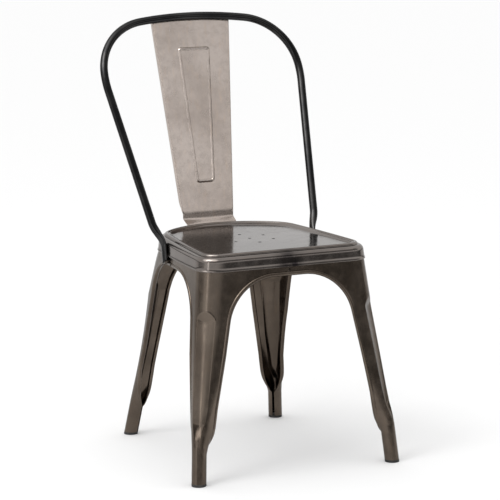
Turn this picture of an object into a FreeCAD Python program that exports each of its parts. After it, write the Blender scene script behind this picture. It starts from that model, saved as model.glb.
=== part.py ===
import FreeCAD, Part
import math
import os
import Sketcher

from FreeCAD import Placement, Rotation, Vector

# Pressed steel bistro chair: a dished seat pan on four sheet legs that run out into round
# tubes, a bent tube back with a pressed splat, a crossed brace under the seat and rubber feet.
# Millimetres. Behind the chair is +Y, its left side as the photograph shows it is -X, up is +Z.
# The pieces are worked out about the seat's own datum line and then moved by frame_shift, so
# that the origin is on the floor under the middle of the whole chair.

SIZES = {
    # overall
    "overall_height": 850.0,
    "frame_shift": -9.0,
    "joint_clearance": 0.3,
    # seat pan
    "rim_height": 430.5,
    "rim_rounding": 11.0,
    "seat_gauge": 1.5,
    "skirt_depth": 32.5,
    "dish_depth": 6.0,
    "dish_inset": 23.0,
    "crest_inset": 12.2,
    "crest_radius": 4.5,
    "shoulder_radius": 6.5,
    "shoulder_drop": 4.7,
    "drain_radius": 3.2,
    "drain_ring_radius": 47.0,
    "drain_centre": -18.0,
    # plan outline of the leg sheets at the skirt's edge
    "splay": 0.1106,
    "front_reach": 195.0,
    "rear_reach": 166.5,
    "front_half_width": 178.0,
    "rear_half_width": 137.5,
    "side_bow": 6.2,
    "rear_bow_radius": 190.0,
    "lower_bow_radius": 4000.0,
    "rear_flare": 0.022,
    "rear_pinch_width": 5.2,
    "rear_pinch_reach": 4.4,
    "side_seam": -12.0,
    "front_corner_radius": 40.0,
    "rear_corner_radius": 76.0,
    "front_knuckle_radius": 38.0,
    "rear_knuckle_radius": 41.0,
    "knuckle_height": 300.0,
    # legs
    "leg_gauge": 1.5,
    "tube_radius": 13.75,
    "shin_radius": 14.1,
    "shin_top": 74.0,
    "tube_overlap": 16.0,
    "foot_front_half_track": 206.5,
    "foot_rear_half_track": 164.0,
    "foot_front_reach": 226.3,
    "foot_rear_reach": 208.4,
    "lip_width": 3.0,
    "lip_depth": 8.0,
    # arches cut between the legs
    "arch_height": 381.0,
    "arch_flat": 32.0,
    "arch_radius": 99.0,
    "rear_arch_flat": 4.0,
    "rear_arch_radius": 84.0,
    "knee_height": 118.0,
    "front_knee": 166.4,
    "front_ankle": 188.5,
    "rear_knee": 121.0,
    "rear_ankle": 142.5,
    "side_arch_centre": -18.0,
    "side_front_knee": 183.9,
    "side_front_ankle": 203.5,
    "side_rear_knee": 170.2,
    "side_rear_ankle": 178.5,
    # pressed flute down the outer corner of each leg
    "flute_top": 323.0,
    "flute_bottom": 84.0,
    "flute_facet": 18.0,
    "flute_heel": 22.0,
    "flute_depth": 10.0,
    "flute_top_half_width": 19.0,
    "flute_bottom_half_width": 12.5,
    # rubber feet
    "foot_lip_radius": 14.4,
    "foot_lip_height": 5.0,
    "foot_plug_radius": 12.0,
    "foot_plug_height": 12.0,
    # back hoop
    "hoop_tube_radius": 7.75,
    "hoop_lean": 27.1,
    "hoop_base_height": 491.0,
    "hoop_base_reach": 70.5,
    "hoop_crown_radius": 830.0,
    "hoop_crown_angle": 7.96,
    "hoop_shoulder_radius": 115.0,
    "hoop_shoulder_angle": 78.65,
    "hoop_side_radius": 204.0,
    "hoop_leg_angle": 7.32,
    "hoop_jog_top": 459.0,
    "hoop_jog_bottom": 414.0,
    "hoop_foot_ahead": 3.0,
    "hoop_end_height": 388.0,
    "hoop_flat_half_width": 10.0,
    "hoop_flat_half_depth": 4.4,
    # back splat
    "splat_gauge": 1.5,
    "splat_top_drop": 2.0,
    "splat_top_half_width": 84.6,
    "splat_bend_half_width": 55.6,
    "splat_bend_height": 450.4,
    "splat_bend_reach": 178.9,
    "splat_flange": 8.0,
    "splat_tab_top": 436.0,
    "splat_tab_bottom": 404.0,
    "splat_tab_half_width": 52.0,
    "emboss_top_gap": 62.3,
    "emboss_bottom_gap": 60.0,
    "emboss_top_half_width": 35.2,
    "emboss_bottom_half_width": 20.5,
    "emboss_height": 2.5,
    "emboss_slope_width": 4.0,
    # crossed brace
    "brace_width": 30.0,
    "brace_gauge": 3.0,
    "brace_corner_gap": 3.0,
    # welds
    "weld_radius": 3.2,
    "weld_length": 14.0,
    "spot_weld_radius": 2.6,
    "spot_weld_height": 409.0,
    "spot_weld_pitch": 37.0,
}

doc = FreeCAD.newDocument("bistro_chair")
sheet = doc.addObject("Spreadsheet::Sheet", "sizes")
for row, (alias, value) in enumerate(SIZES.items(), start=1):
    sheet.set("A%d" % row, alias)
    sheet.set("B%d" % row, str(value))
    sheet.setAlias("B%d" % row, alias)
doc.recompute()


def size(alias):
    """A driving dimension, read back from the sheet."""
    return float(sheet.get(alias))


DOWN = Vector(0, 0, -1)
UP = Vector(0, 0, 1)
SKIRT_EDGE = size("rim_height") - size("skirt_depth")
LEG_TOP = size("rim_height") - size("rim_rounding") - 0.5
FAR = 2.0 * size("overall_height")


def unit(vector):
    """The same direction, one millimetre long."""
    return vector * (1.0 / vector.Length)


def mix(a, b, share):
    """A number or a point the given share of the way from a to b."""
    return a + (b - a) * share


def feature(name, shape):
    """A shape that is worked out from the sheet's values, as an object of the document."""
    made = doc.addObject("Part::Feature", name)
    made.Shape = shape
    return made


def line(a, b):
    """A straight edge."""
    return Part.LineSegment(a, b).toShape()


def arc(a, through, b):
    """A circular edge through three points."""
    return Part.Arc(a, through, b).toShape()


def arc_about(centre, a, b):
    """The shorter circular edge from a to b about a centre, at one height."""
    radius = (a - centre).Length
    half_way = unit((a - centre) + (b - centre))
    return arc(a, centre + half_way * radius, b)


def splay_at(z):
    """How far outside the outline at the skirt's edge the leg sheets stand at height z."""
    return size("splay") * (SKIRT_EDGE - z)


def plan(z, offset, front_radius, rear_radius, bow_radius, rear_shift, pinch):
    """Tangent points of the right half outline at height z, moved outwards by offset.

    The front is straight, the side is a shallow arc, the rear is an arc of bow_radius moved
    back by rear_shift, and an arc of its own radius rounds each corner. The share pinch of
    the rear legs' inward bow is taken off the rear's width and reach.
    """
    front = Vector(size("front_half_width"), -size("front_reach"), 0)
    rear = Vector(size("rear_half_width"), size("rear_reach"), 0)
    rear.x -= size("rear_pinch_width") * pinch
    rear.y -= size("rear_pinch_reach") * pinch
    chord = rear - front
    outward = unit(Vector(chord.y, -chord.x, 0))
    bow = size("side_bow")
    side_radius = (chord.Length ** 2 / 4.0 + bow ** 2) / (2.0 * bow)
    side_centre = (front + rear) * 0.5 - outward * (side_radius - bow)
    side_radius += offset

    corner_y = front.y - offset + front_radius
    reach = side_radius - front_radius
    corner_x = side_centre.x + math.sqrt(reach ** 2 - (corner_y - side_centre.y) ** 2)
    front_corner = Vector(corner_x, corner_y, 0)

    bow_centre = Vector(0, rear.y + rear_shift - bow_radius, 0)
    rear_radius_out = bow_radius + offset
    near = side_radius - rear_radius
    far = rear_radius_out - rear_radius
    between = bow_centre - side_centre
    along = (near ** 2 - far ** 2 + between.Length ** 2) / (2.0 * between.Length)
    across = math.sqrt(near ** 2 - along ** 2)
    axis = unit(between)
    square = Vector(-axis.y, axis.x, 0)
    choices = [side_centre + axis * along + square * (across * way) for way in (1, -1)]
    rear_corner = max(choices, key=lambda point: point.y)

    seam_y = size("side_seam")
    seam_x = side_centre.x + math.sqrt(side_radius ** 2 - (seam_y - side_centre.y) ** 2)
    points = {
        "front_middle": Vector(0, front.y - offset, 0),
        "front_tangent": front_corner + Vector(0, -front_radius, 0),
        "side_front": side_centre + unit(front_corner - side_centre) * side_radius,
        "seam": Vector(seam_x, seam_y, 0),
        "side_rear": side_centre + unit(rear_corner - side_centre) * side_radius,
        "rear_tangent": bow_centre + unit(rear_corner - bow_centre) * rear_radius_out,
        "rear_middle": bow_centre + Vector(0, rear_radius_out, 0),
        "front_corner": front_corner,
        "rear_corner": rear_corner,
        "side_centre": side_centre,
        "bow_centre": bow_centre,
    }
    return {name: point + UP * z for name, point in points.items()}


def leg_plan(z, inset):
    """The leg sheets' outline at height z, inset from their outer face."""
    low, knuckle = size("shin_top"), size("knuckle_height")
    if z <= knuckle:
        share = (z - low) / (knuckle - low)
        front = mix(size("shin_radius"), size("front_knuckle_radius"), share)
        rear = mix(size("shin_radius"), size("rear_knuckle_radius"), share)
        bow = size("lower_bow_radius")
    else:
        share = min(1.0, (z - knuckle) / (SKIRT_EDGE - knuckle))
        front = mix(size("front_knuckle_radius"), size("front_corner_radius"), share)
        rear = mix(size("rear_knuckle_radius"), size("rear_corner_radius"), share)
        bow = mix(1.0 / size("lower_bow_radius"), 1.0 / size("rear_bow_radius"), share)
        bow = 1.0 / bow
    flare = size("rear_flare") * max(0.0, SKIRT_EDGE - z)
    drop = min(1.0, max(0.0, (SKIRT_EDGE - z) / (SKIRT_EDGE - low)))
    pinch = math.sin(math.pi * drop)
    return plan(z, splay_at(z) - inset, front - inset, rear - inset, bow, flare, pinch)


def outline_edges(p):
    """The whole outline, both halves, as edges head to tail."""
    right = [
        line(p["front_middle"], p["front_tangent"]),
        arc_about(p["front_corner"], p["front_tangent"], p["side_front"]),
        arc_about(p["side_centre"], p["side_front"], p["side_rear"]),
        arc_about(p["rear_corner"], p["side_rear"], p["rear_tangent"]),
        arc_about(p["bow_centre"], p["rear_tangent"], p["rear_middle"]),
    ]
    mirrored = [edge.mirror(Vector(0, 0, 0), Vector(1, 0, 0)) for edge in right]
    return right + mirrored[::-1]


def half_path(p, front):
    """The outer edges of one right leg's section, from the middle line to the side seam."""
    if front:
        return [
            (p["front_middle"], None, p["front_tangent"]),
            (p["front_tangent"], p["front_corner"], p["side_front"]),
            (p["side_front"], p["side_centre"], p["seam"]),
        ]
    return [
        (p["rear_middle"], p["bow_centre"], p["rear_tangent"]),
        (p["rear_tangent"], p["rear_corner"], p["side_rear"]),
        (p["side_rear"], p["side_centre"], p["seam"]),
    ]


def path_edge(step):
    """One edge of a half path: straight without a centre, else an arc about it."""
    start, centre, end = step
    return line(start, end) if centre is None else arc_about(centre, start, end)


def sheet_section(z, depth, front):
    """A closed section of a leg's wall of the given depth at height z."""
    outer = half_path(leg_plan(z, 0.0), front)
    inner = half_path(leg_plan(z, depth), front)
    back = [(end, centre, start) for start, centre, end in inner[::-1]]
    edges = [path_edge(step) for step in outer]
    edges.append(line(outer[-1][2], back[0][0]))
    edges += [path_edge(step) for step in back]
    edges.append(line(back[-1][2], outer[0][0]))
    return Part.Wire(edges)


def block_section(z, front):
    """A closed section of all that lies inside a right leg's outer face at height z."""
    outer = half_path(leg_plan(z, 0.0), front)
    middle = Vector(0, size("side_seam"), z)
    edges = [path_edge(step) for step in outer]
    edges.append(line(outer[-1][2], middle))
    edges.append(line(middle, outer[0][0]))
    return Part.Wire(edges)


def stacked(sections):
    """A solid ruled from each section to the next."""
    return Part.makeLoft(sections, True, True)


def leg_heights():
    """The heights at which a leg's section is drawn, from the shin to under the rim."""
    return [size("shin_top"), size("knuckle_height"), SKIRT_EDGE, LEG_TOP]


def leg_wall(depth, front):
    """One right leg's wall before its arches are cut."""
    return stacked([sheet_section(z, depth, front) for z in leg_heights()])


def leg_block(front):
    """One right leg's wall with all that lies inside it."""
    return stacked([block_section(z, front) for z in leg_heights()])


def edge_run(centre, flat, radius, top, knee, ankle, grow):
    """Half of an arch's edge: flat crown, round shoulder, straight leg edge, curved ankle.

    Points are (along, height) with the middle of the arch at zero; grow moves the edge
    outwards. The straight stretch leaves the shoulder at a tangent and ends at the knee,
    and the ankle is the arc that carries it on to the tube.
    """
    hub = (flat, top - radius)
    swing = radius + grow
    dx, dz = knee[0] + grow - hub[0], knee[1] - hub[1]
    reach = math.hypot(dx, dz)
    heading = math.atan2(dz, dx) + math.acos(swing / reach)
    touch = (hub[0] + swing * math.cos(heading), hub[1] + swing * math.sin(heading))
    middle = 0.5 * (heading + math.pi / 2.0)
    crown_end = (hub[0], hub[1] + swing)
    shoulder = (hub[0] + swing * math.cos(middle), hub[1] + swing * math.sin(middle))
    knee_out = (knee[0] + grow, knee[1])
    ankle_out = (ankle[0] + grow, ankle[1])
    leg_turn = math.atan2(knee_out[0] - touch[0], touch[1] - knee_out[1])
    chord_turn = math.atan2(ankle_out[0] - knee_out[0], knee_out[1] - ankle_out[1])
    span = math.hypot(ankle_out[0] - knee_out[0], ankle_out[1] - knee_out[1])
    bulge = 0.5 * span * math.tan(0.5 * (chord_turn - leg_turn))
    mid = ((knee_out[0] + ankle_out[0]) / 2.0, (knee_out[1] + ankle_out[1]) / 2.0)
    ankle_mid = (mid[0] - bulge * math.cos(chord_turn), mid[1] - bulge * math.sin(chord_turn))
    return [crown_end, shoulder, touch, knee_out, ankle_mid, ankle_out]


def arch_face(runs, grow, place):
    """The flat face of an arch's opening; runs gives its two edges, place sets it in space."""
    below = -size("tube_overlap")
    halves = []
    for way, values in ((1, runs[0]), (-1, runs[1])):
        points = edge_run(*values, grow)
        halves.append([place(way * along, height) for along, height in points])
    right, left = halves
    corners = []
    for points, values, way in ((right, runs[0], 1), (left, runs[1], -1)):
        corners.append(place(way * (values[5][0] + grow), below))
    edges = [
        line(left[0], right[0]),
        arc(right[0], right[1], right[2]),
        line(right[2], right[3]),
        arc(right[3], right[4], right[5]),
        line(right[5], corners[0]),
        line(corners[0], corners[1]),
        line(corners[1], left[5]),
        arc(left[5], left[4], left[3]),
        line(left[3], left[2]),
        arc(left[2], left[1], left[0]),
    ]
    return Part.Face(Part.Wire(edges))


def arch_prism(which, grow):
    """The solid that an arch's opening sweeps through its flanges."""
    top, knee_z, ankle_z = size("arch_height"), size("knee_height"), size("shin_top")
    flat, radius = size("arch_flat"), size("arch_radius")
    if which == "side":
        middle = size("side_arch_centre")
        rear_edge = (0, flat, radius, top, (size("side_rear_knee") - middle, knee_z),
                     (size("side_rear_ankle") - middle, ankle_z))
        front_edge = (0, flat, radius, top, (size("side_front_knee") + middle, knee_z),
                      (size("side_front_ankle") + middle, ankle_z))
        start = 0.3 * size("front_half_width")
        face = arch_face((rear_edge, front_edge), grow,
                         lambda along, height: Vector(start, middle + along, height))
        return face.extrude(Vector(FAR, 0, 0))
    if which == "front":
        edge = (0, flat, radius, top, (size("front_knee"), knee_z),
                (size("front_ankle"), ankle_z))
        face = arch_face((edge, edge), grow,
                         lambda along, height: Vector(along, size("side_seam"), height))
        return face.extrude(Vector(0, -FAR, 0))
    edge = (0, size("rear_arch_flat"), size("rear_arch_radius"), top,
            (size("rear_knee"), knee_z), (size("rear_ankle"), ankle_z))
    face = arch_face((edge, edge), grow,
                     lambda along, height: Vector(along, size("side_seam"), height))
    return face.extrude(Vector(0, FAR, 0))


def corner_frame(z, front):
    """The centre, radius and outward direction of a right leg's corner arc at height z."""
    p = leg_plan(z, 0.0)
    if front:
        centre, a, b = p["front_corner"], p["front_tangent"], p["side_front"]
    else:
        centre, a, b = p["rear_corner"], p["side_rear"], p["rear_tangent"]
    return centre, (a - centre).Length, unit((a - centre) + (b - centre))


def flute_section(z, front, wall):
    """The circle that presses the flute into the corner at height z, larger by wall."""
    centre, radius, outward = corner_frame(z, front)
    share = (z - size("flute_bottom")) / (size("flute_top") - size("flute_bottom"))
    half = mix(size("flute_bottom_half_width"), size("flute_top_half_width"), share)
    half = min(half, 0.95 * radius)
    chord = math.sqrt(radius ** 2 - half ** 2)
    sagitta = size("flute_depth") - (radius - chord)
    swage = (half ** 2 + sagitta ** 2) / (2.0 * sagitta)
    hub = centre + outward * (chord - sagitta + swage)
    circle = Part.Circle(hub, UP, swage + wall).toShape()
    return Part.Wire([circle])


def flute_tool(front, wall):
    """The solid that presses the flute: a tapered bar whose two ends are cut on a slope."""
    bottom, top = size("flute_bottom"), size("flute_top")
    bar = stacked([flute_section(z, front, wall) for z in (bottom + 1.0, top)])

    outward = corner_frame(top, front)[2]
    edge = [corner_frame(level, front) for level in (bottom, top)]
    edge = [centre + way * radius for centre, radius, way in edge]

    def at(depth, z):
        """A point the given depth inside the corner's outer edge, near height z."""
        return mix(edge[0], edge[1], (z - bottom) / (top - bottom)) - outward * depth

    depth = size("flute_depth")
    deep = 3.0 * depth
    facet = size("flute_facet") / depth
    heel = size("flute_heel") / depth
    corners = [
        at(-deep, top + deep * facet + wall),
        at(deep, top - deep * facet + wall),
        at(deep, bottom + deep * heel - wall),
        at(-deep, bottom - deep * heel - wall),
    ]
    across = unit(UP.cross(outward)) * (4.0 * size("flute_top_half_width"))
    edges = [line(corners[i] - across, corners[(i + 1) % 4] - across) for i in range(4)]
    wedge = Part.Face(Part.Wire(edges)).extrude(across * 2.0)
    return bar.common(wedge)


def foot_centre(front):
    """The middle of a right foot on the floor."""
    if front:
        return Vector(size("foot_front_half_track"), -size("foot_front_reach"), 0)
    return Vector(size("foot_rear_half_track"), size("foot_rear_reach"), 0)


def tube_axis(front):
    """The floor point and the direction of a right leg's tube."""
    ankle = corner_frame(size("shin_top"), front)[0]
    floor = foot_centre(front)
    return floor, unit(ankle - floor)


def slab(low, high):
    """All space between two heights."""
    return Part.makeBox(2 * FAR, 2 * FAR, high - low, Vector(-FAR, -FAR, low))


def leaning_rod(front, radius, low, high):
    """A round bar on a right leg's tube axis, cut level at two heights."""
    floor, direction = tube_axis(front)
    spare = direction * (2.0 * radius)
    length = (high - low) + 8.0 * radius
    start = floor + direction * (low / direction.z) - spare
    return Part.makeCylinder(radius, length, start, direction).common(slab(low, high))


def leg_tube(front):
    """The round lower end of a leg, open at the top where the sheet closes into it."""
    low = size("foot_lip_height")
    high = size("shin_top") + size("tube_overlap")
    outer = leaning_rod(front, size("tube_radius"), low, high)
    return outer.cut(leaning_rod(front, size("tube_radius") - size("leg_gauge"), low, high))


def right_leg(front):
    """A right leg: the fluted corner sheet, its turned edges and its tube, as one solid."""
    end_arch = "front" if front else "rear"
    gauge = size("leg_gauge")
    wall = leg_wall(gauge, front)
    turned = leg_wall(size("lip_depth"), front)
    lips = []
    for which in (end_arch, "side"):
        opening = arch_prism(which, 0.0)
        wall = wall.cut(opening)
        rim = arch_prism(which, size("lip_width")).cut(opening)
        lips.append(turned.common(rim))
    lips[0] = lips[0].cut(arch_prism("side", 0.0))
    lips[1] = lips[1].cut(arch_prism(end_arch, 0.0))
    press = flute_tool(front, 0.0)
    trough = flute_tool(front, gauge).cut(press).common(leg_block(front))
    pressed = wall.cut(press)
    return pressed.fuse([trough, lips[0], lips[1], leg_tube(front)]).removeSplitter()


def leg(name, front):
    """A right leg and its mirrored left twin, both following the sheet's shift."""
    right = feature(name, right_leg(front))
    left = doc.addObject("Part::Mirroring", name.replace("right", "left"))
    left.Source = right
    left.Normal = (1, 0, 0)
    return right, left


def seat_profile(gauge):
    """The pan's section from the skirt's edge to the dish floor, as (inset, height) points.

    The skirt rises into a rounded shoulder, dips into a groove, climbs over the crest of the
    rim and falls to the dish. gauge is how far the points lie below the upper face.
    """
    face = -(size("joint_clearance") + size("seat_gauge"))
    shoulder, crest = size("shoulder_radius"), size("crest_radius")
    top = size("rim_height")
    hub = (face + shoulder, top - size("shoulder_drop") - shoulder)
    peak = (size("crest_inset"), top - crest)
    points = [(face + gauge, SKIRT_EDGE)]
    for degrees in (180, 155, 130, 105, 80, 62):
        turn = math.radians(degrees)
        reach = shoulder - gauge
        points.append((hub[0] + reach * math.cos(turn), hub[1] + reach * math.sin(turn)))
    for degrees in (175, 150, 125, 95, 65, 40):
        turn = math.radians(degrees)
        reach = crest - gauge
        points.append((peak[0] + reach * math.cos(turn), peak[1] + reach * math.sin(turn)))
    floor = top - size("dish_depth") - gauge
    points.append((size("dish_inset") - 4.0 - 0.4 * gauge, floor + 1.1))
    points.append((size("dish_inset"), floor))
    return points


def seat_form(gauge):
    """The solid under the pan's upper face, less gauge."""
    rings = []
    for inset, z in seat_profile(gauge):
        rings.append(Part.Wire(outline_edges(leg_plan_at(z, inset))))
    return stacked(rings)


def leg_plan_at(z, inset):
    """The outline at height z for the seat: the skirt flares like the legs it covers."""
    return leg_plan(max(z, SKIRT_EDGE), inset)


def seat_pan():
    """The pan: one pressed sheet with its skirt, and the drain holes in the dish."""
    shell = seat_form(0.0).cut(seat_form(size("seat_gauge")))
    centre = Vector(0, size("drain_centre"), SKIRT_EDGE)
    ring = size("drain_ring_radius")
    spots = [centre]
    for turn in range(6):
        angle = math.radians(30 + 60 * turn)
        spots.append(centre + Vector(ring * math.cos(angle), ring * math.sin(angle), 0))
    drills = [Part.makeCylinder(size("drain_radius"), 60, spot, UP) for spot in spots]
    return shell.cut(drills)


def lean_point(x, z, behind=0.0):
    """A point of the hoop's leaning plane at height z, or that far behind the plane."""
    lean = math.radians(size("hoop_lean"))
    rise = z - size("hoop_base_height")
    y = size("hoop_base_reach") + rise * math.tan(lean) + behind / math.cos(lean)
    return Vector(x, y, z)


def lean_uv(u, v):
    """A point of the hoop's leaning plane: u across, v up the slope from the base height."""
    lean = math.radians(size("hoop_lean"))
    rise = Vector(0, math.sin(lean), math.cos(lean)) * v
    return Vector(u, size("hoop_base_reach"), size("hoop_base_height")) + rise


def lean_v(z):
    """How far up the leaning plane the height z lies."""
    return (z - size("hoop_base_height")) / math.cos(math.radians(size("hoop_lean")))


def skirt_side_x(y, z):
    """Half the width of the skirt's outer face at a place along the side."""
    offset = size("joint_clearance") + size("seat_gauge")
    p = leg_plan(z, -offset)
    radius = (p["seam"] - p["side_centre"]).Length
    return p["side_centre"].x + math.sqrt(radius ** 2 - (y - p["side_centre"].y) ** 2)


def hoop_half():
    """The right half of the hoop's centre line: its edges and the end of the straight."""
    top_v = lean_v(size("overall_height") - size("hoop_tube_radius"))
    heading = 0.0
    here = (0.0, top_v)
    edges = []
    bends = (("hoop_crown_radius", "hoop_crown_angle"),
             ("hoop_shoulder_radius", "hoop_shoulder_angle"),
             ("hoop_side_radius", None))
    for radius_name, angle_name in bends:
        radius = size(radius_name)
        if angle_name is None:
            turn = math.radians(90.0 + size("hoop_leg_angle")) - heading
        else:
            turn = math.radians(size(angle_name))
        hub = (here[0] - radius * math.sin(heading), here[1] - radius * math.cos(heading))
        points = []
        for share in (0.0, 0.5, 1.0):
            angle = heading + share * turn
            points.append((hub[0] + radius * math.sin(angle), hub[1] + radius * math.cos(angle)))
        edges.append(arc(*[lean_uv(*point) for point in points]))
        heading += turn
        here = points[-1]
    end_v = lean_v(size("hoop_jog_top"))
    run = (here[1] - end_v) / math.sin(heading)
    end = (here[0] + run * math.cos(heading), end_v)
    edges.append(line(lean_uv(*here), lean_uv(*end)))
    return edges, end


def hoop_ring(centre, direction, half_width, half_depth):
    """An oval section of the hoop across the given direction of its centre line."""
    lean = math.radians(size("hoop_lean"))
    behind = Vector(0, math.cos(lean), -math.sin(lean))
    across = unit(direction.cross(behind))
    tip = centre + behind * (half_width + 1e-3)
    side = centre + across * half_depth
    return Part.Wire([Part.Ellipse(tip, side, centre).toShape()])


def bent(start, leaving, end, arriving, share):
    """A point of the smooth curve between two points with set directions, and its heading."""
    t = share
    spot = (start * (2 * t ** 3 - 3 * t ** 2 + 1) + leaving * (t ** 3 - 2 * t ** 2 + t)
            + end * (3 * t ** 2 - 2 * t ** 3) + arriving * (t ** 3 - t ** 2))
    heading = (start * (6 * t ** 2 - 6 * t) + leaving * (3 * t ** 2 - 4 * t + 1)
               + end * (6 * t - 6 * t ** 2) + arriving * (3 * t ** 2 - 2 * t))
    return spot, unit(heading)


def back_hoop():
    """The back: one bent round tube whose two ends are pressed flat against the skirt."""
    radius = size("hoop_tube_radius")
    edges, end = hoop_half()
    twins = [edge.mirror(Vector(0, 0, 0), Vector(1, 0, 0)) for edge in edges]
    top = lean_uv(*end)
    straight = unit(top - edges[-1].Vertexes[0].Point)
    half_depth = size("hoop_flat_half_depth")
    stand_off = half_depth + 4.5 * size("joint_clearance")
    marks = []
    for z in (size("hoop_jog_bottom"), size("hoop_end_height")):
        spot = lean_point(0, z, -size("hoop_foot_ahead"))
        spot.x = skirt_side_x(spot.y, max(z, SKIRT_EDGE)) + stand_off
        marks.append(spot)
    pressed = unit(marks[1] - marks[0])
    length = (marks[0] - top).Length
    rings = []
    for share in (0.0, 0.2, 0.4, 0.6, 0.8, 1.0):
        spot, heading = bent(top, straight * length, marks[0], pressed * length, share)
        ease = max(0.0, (share - 0.2) / 0.8)
        ease = ease * ease * (3.0 - 2.0 * ease)
        rings.append(hoop_ring(spot, heading,
                               mix(radius, size("hoop_flat_half_width"), ease),
                               mix(radius, half_depth, ease)))
    for share in (0.5, 1.0):
        rings.append(hoop_ring(mix(marks[0], marks[1], share), pressed,
                               size("hoop_flat_half_width"), half_depth))
    foot = Part.makeLoft(rings, True, False)
    path = Part.Wire(Part.sortEdges(twins + edges)[0])
    start = lean_uv(-end[0], end[1])
    heading = Vector(-straight.x, straight.y, straight.z)
    tube = path.makePipeShell([hoop_ring(start, heading, radius, radius)], True, False)
    return tube.fuse([foot, foot.mirror(Vector(0, 0, 0), Vector(1, 0, 0))])


def splat_frame():
    """The splat's front face: its middle at the bend and at the top, and its directions."""
    bend = Vector(0, size("splat_bend_reach"), size("splat_bend_height"))
    top_z = size("overall_height") - size("hoop_tube_radius") - size("splat_top_drop")
    radius = size("hoop_tube_radius") + size("joint_clearance")
    axis = lean_point(0, size("overall_height") - size("hoop_tube_radius"))
    gap = math.hypot(axis.y - bend.y, axis.z - bend.z)
    rise = math.atan2(axis.y - bend.y, axis.z - bend.z) + math.asin(radius / gap)
    up = Vector(0, math.sin(rise), math.cos(rise))
    back = Vector(0, math.cos(rise), -math.sin(rise))
    return bend, up, back, (top_z - bend.z) / up.z


def splat_plate(half_widths, spans, front, depth):
    """A flat trapezium of the splat: its half widths at two distances above the bend."""
    bend, up, back, length = splat_frame()
    corners = []
    for half, span, way in ((half_widths[0], spans[0], -1), (half_widths[0], spans[0], 1),
                            (half_widths[1], spans[1], 1), (half_widths[1], spans[1], -1)):
        corners.append(bend + up * span + back * front + Vector(way * half, 0, 0))
    return Part.Wire(Part.makePolygon(corners + corners[:1])), back * depth


def back_splat():
    """The splat: a tapering plate with turned edges, a raised panel and a curved foot."""
    gauge = size("splat_gauge")
    bend, up, back, length = splat_frame()
    wide, narrow = size("splat_top_half_width"), size("splat_bend_half_width")
    wire, sweep = splat_plate((narrow, wide), (0.0, length), 0.0, gauge)
    pieces = [Part.Face(wire).extrude(sweep)]

    low, high = size("emboss_bottom_gap"), length - size("emboss_top_gap")
    slope, height = size("emboss_slope_width"), size("emboss_height")
    halves = (size("emboss_bottom_half_width"), size("emboss_top_half_width"))
    outer, _ = splat_plate(halves, (low, high), 0.0, gauge)
    inner_halves = (halves[0] - slope, halves[1] - slope)
    inner, sweep = splat_plate(inner_halves, (low + slope, high - slope), height, gauge)
    step = outer.copy()
    raised = Part.makeLoft([step, inner], True, True)
    below = raised.copy()
    below.translate(back * gauge)
    pieces[0] = pieces[0].cut(raised)
    boss = raised.copy()
    boss.translate(back * gauge)
    pieces.append(boss.cut(raised).common(boss))

    for way in (-1, 1):
        foot = bend + Vector(way * narrow, 0, 0)
        head = bend + up * length + Vector(way * wide, 0, 0)
        inward = Vector(-way * gauge, 0, 0)
        corners = [foot, head, head + inward, foot + inward]
        turned = Part.Face(Part.makePolygon(corners + corners[:1]))
        pieces.append(turned.extrude(back * size("splat_flange")))

    stand_off = 2.0 * size("joint_clearance") + size("seat_gauge")
    rings = []
    for z, half in ((bend.z, narrow), (size("splat_tab_top"), size("splat_tab_half_width")),
                    (size("splat_tab_bottom"), size("splat_tab_half_width"))):
        rings.append(splat_ring(z, half, stand_off, z == bend.z))
    pieces.append(stacked(rings))
    return pieces[0].fuse(pieces[1:]).removeSplitter()


def splat_ring(z, half, stand_off, straight):
    """A level section of the splat's foot: straight at the bend, bowed along the skirt."""
    gauge = size("splat_gauge")
    loops = []
    for extra in (0.0, gauge):
        if straight:
            y = size("splat_bend_reach") + extra * 1.02
            loops.append([Vector(x, y, z) for x in (-half, 0, half)])
            continue
        p = leg_plan(z, -(stand_off + extra))
        middle = p["rear_middle"]
        reach = (middle - p["bow_centre"]).Length
        drop = reach - math.sqrt(reach ** 2 - half ** 2)
        loops.append([middle + Vector(x, -abs(x) / half * drop, 0) for x in (-half, 0, half)])
    near, far = loops
    if straight:
        sides = [line(near[0], near[2]), line(far[2], far[0])]
    else:
        sides = [arc(*near), arc(*far[::-1])]
    return Part.Wire([sides[0], line(near[2], far[2]), sides[1], line(far[0], near[0])])


def rubber_foot(front):
    """A right rubber foot: a lip under the tube and a plug inside it."""
    lip = leaning_rod(front, size("foot_lip_radius"), 0.0, size("foot_lip_height"))
    plug = leaning_rod(front, size("foot_plug_radius"), 0.0, size("foot_plug_height"))
    return lip.fuse(plug).removeSplitter()


def brace_ends(way):
    """Where the middle line of a brace bar starts and ends, in plan."""
    p = leg_plan(LEG_TOP, size("leg_gauge") + size("brace_corner_gap"))
    half = 0.5 * size("brace_width")
    front, rear = p["front_corner"], p["rear_corner"]
    ahead = Vector(front.x * way, front.y, 0)
    behind = Vector(-rear.x * way, rear.y, 0)
    along = unit(behind - ahead)
    front_radius = (p["front_tangent"] - front).Length
    rear_radius = (p["rear_tangent"] - rear).Length
    ahead -= along * math.sqrt(front_radius ** 2 - half ** 2)
    behind += along * math.sqrt(rear_radius ** 2 - half ** 2)
    return ahead, behind


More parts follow.
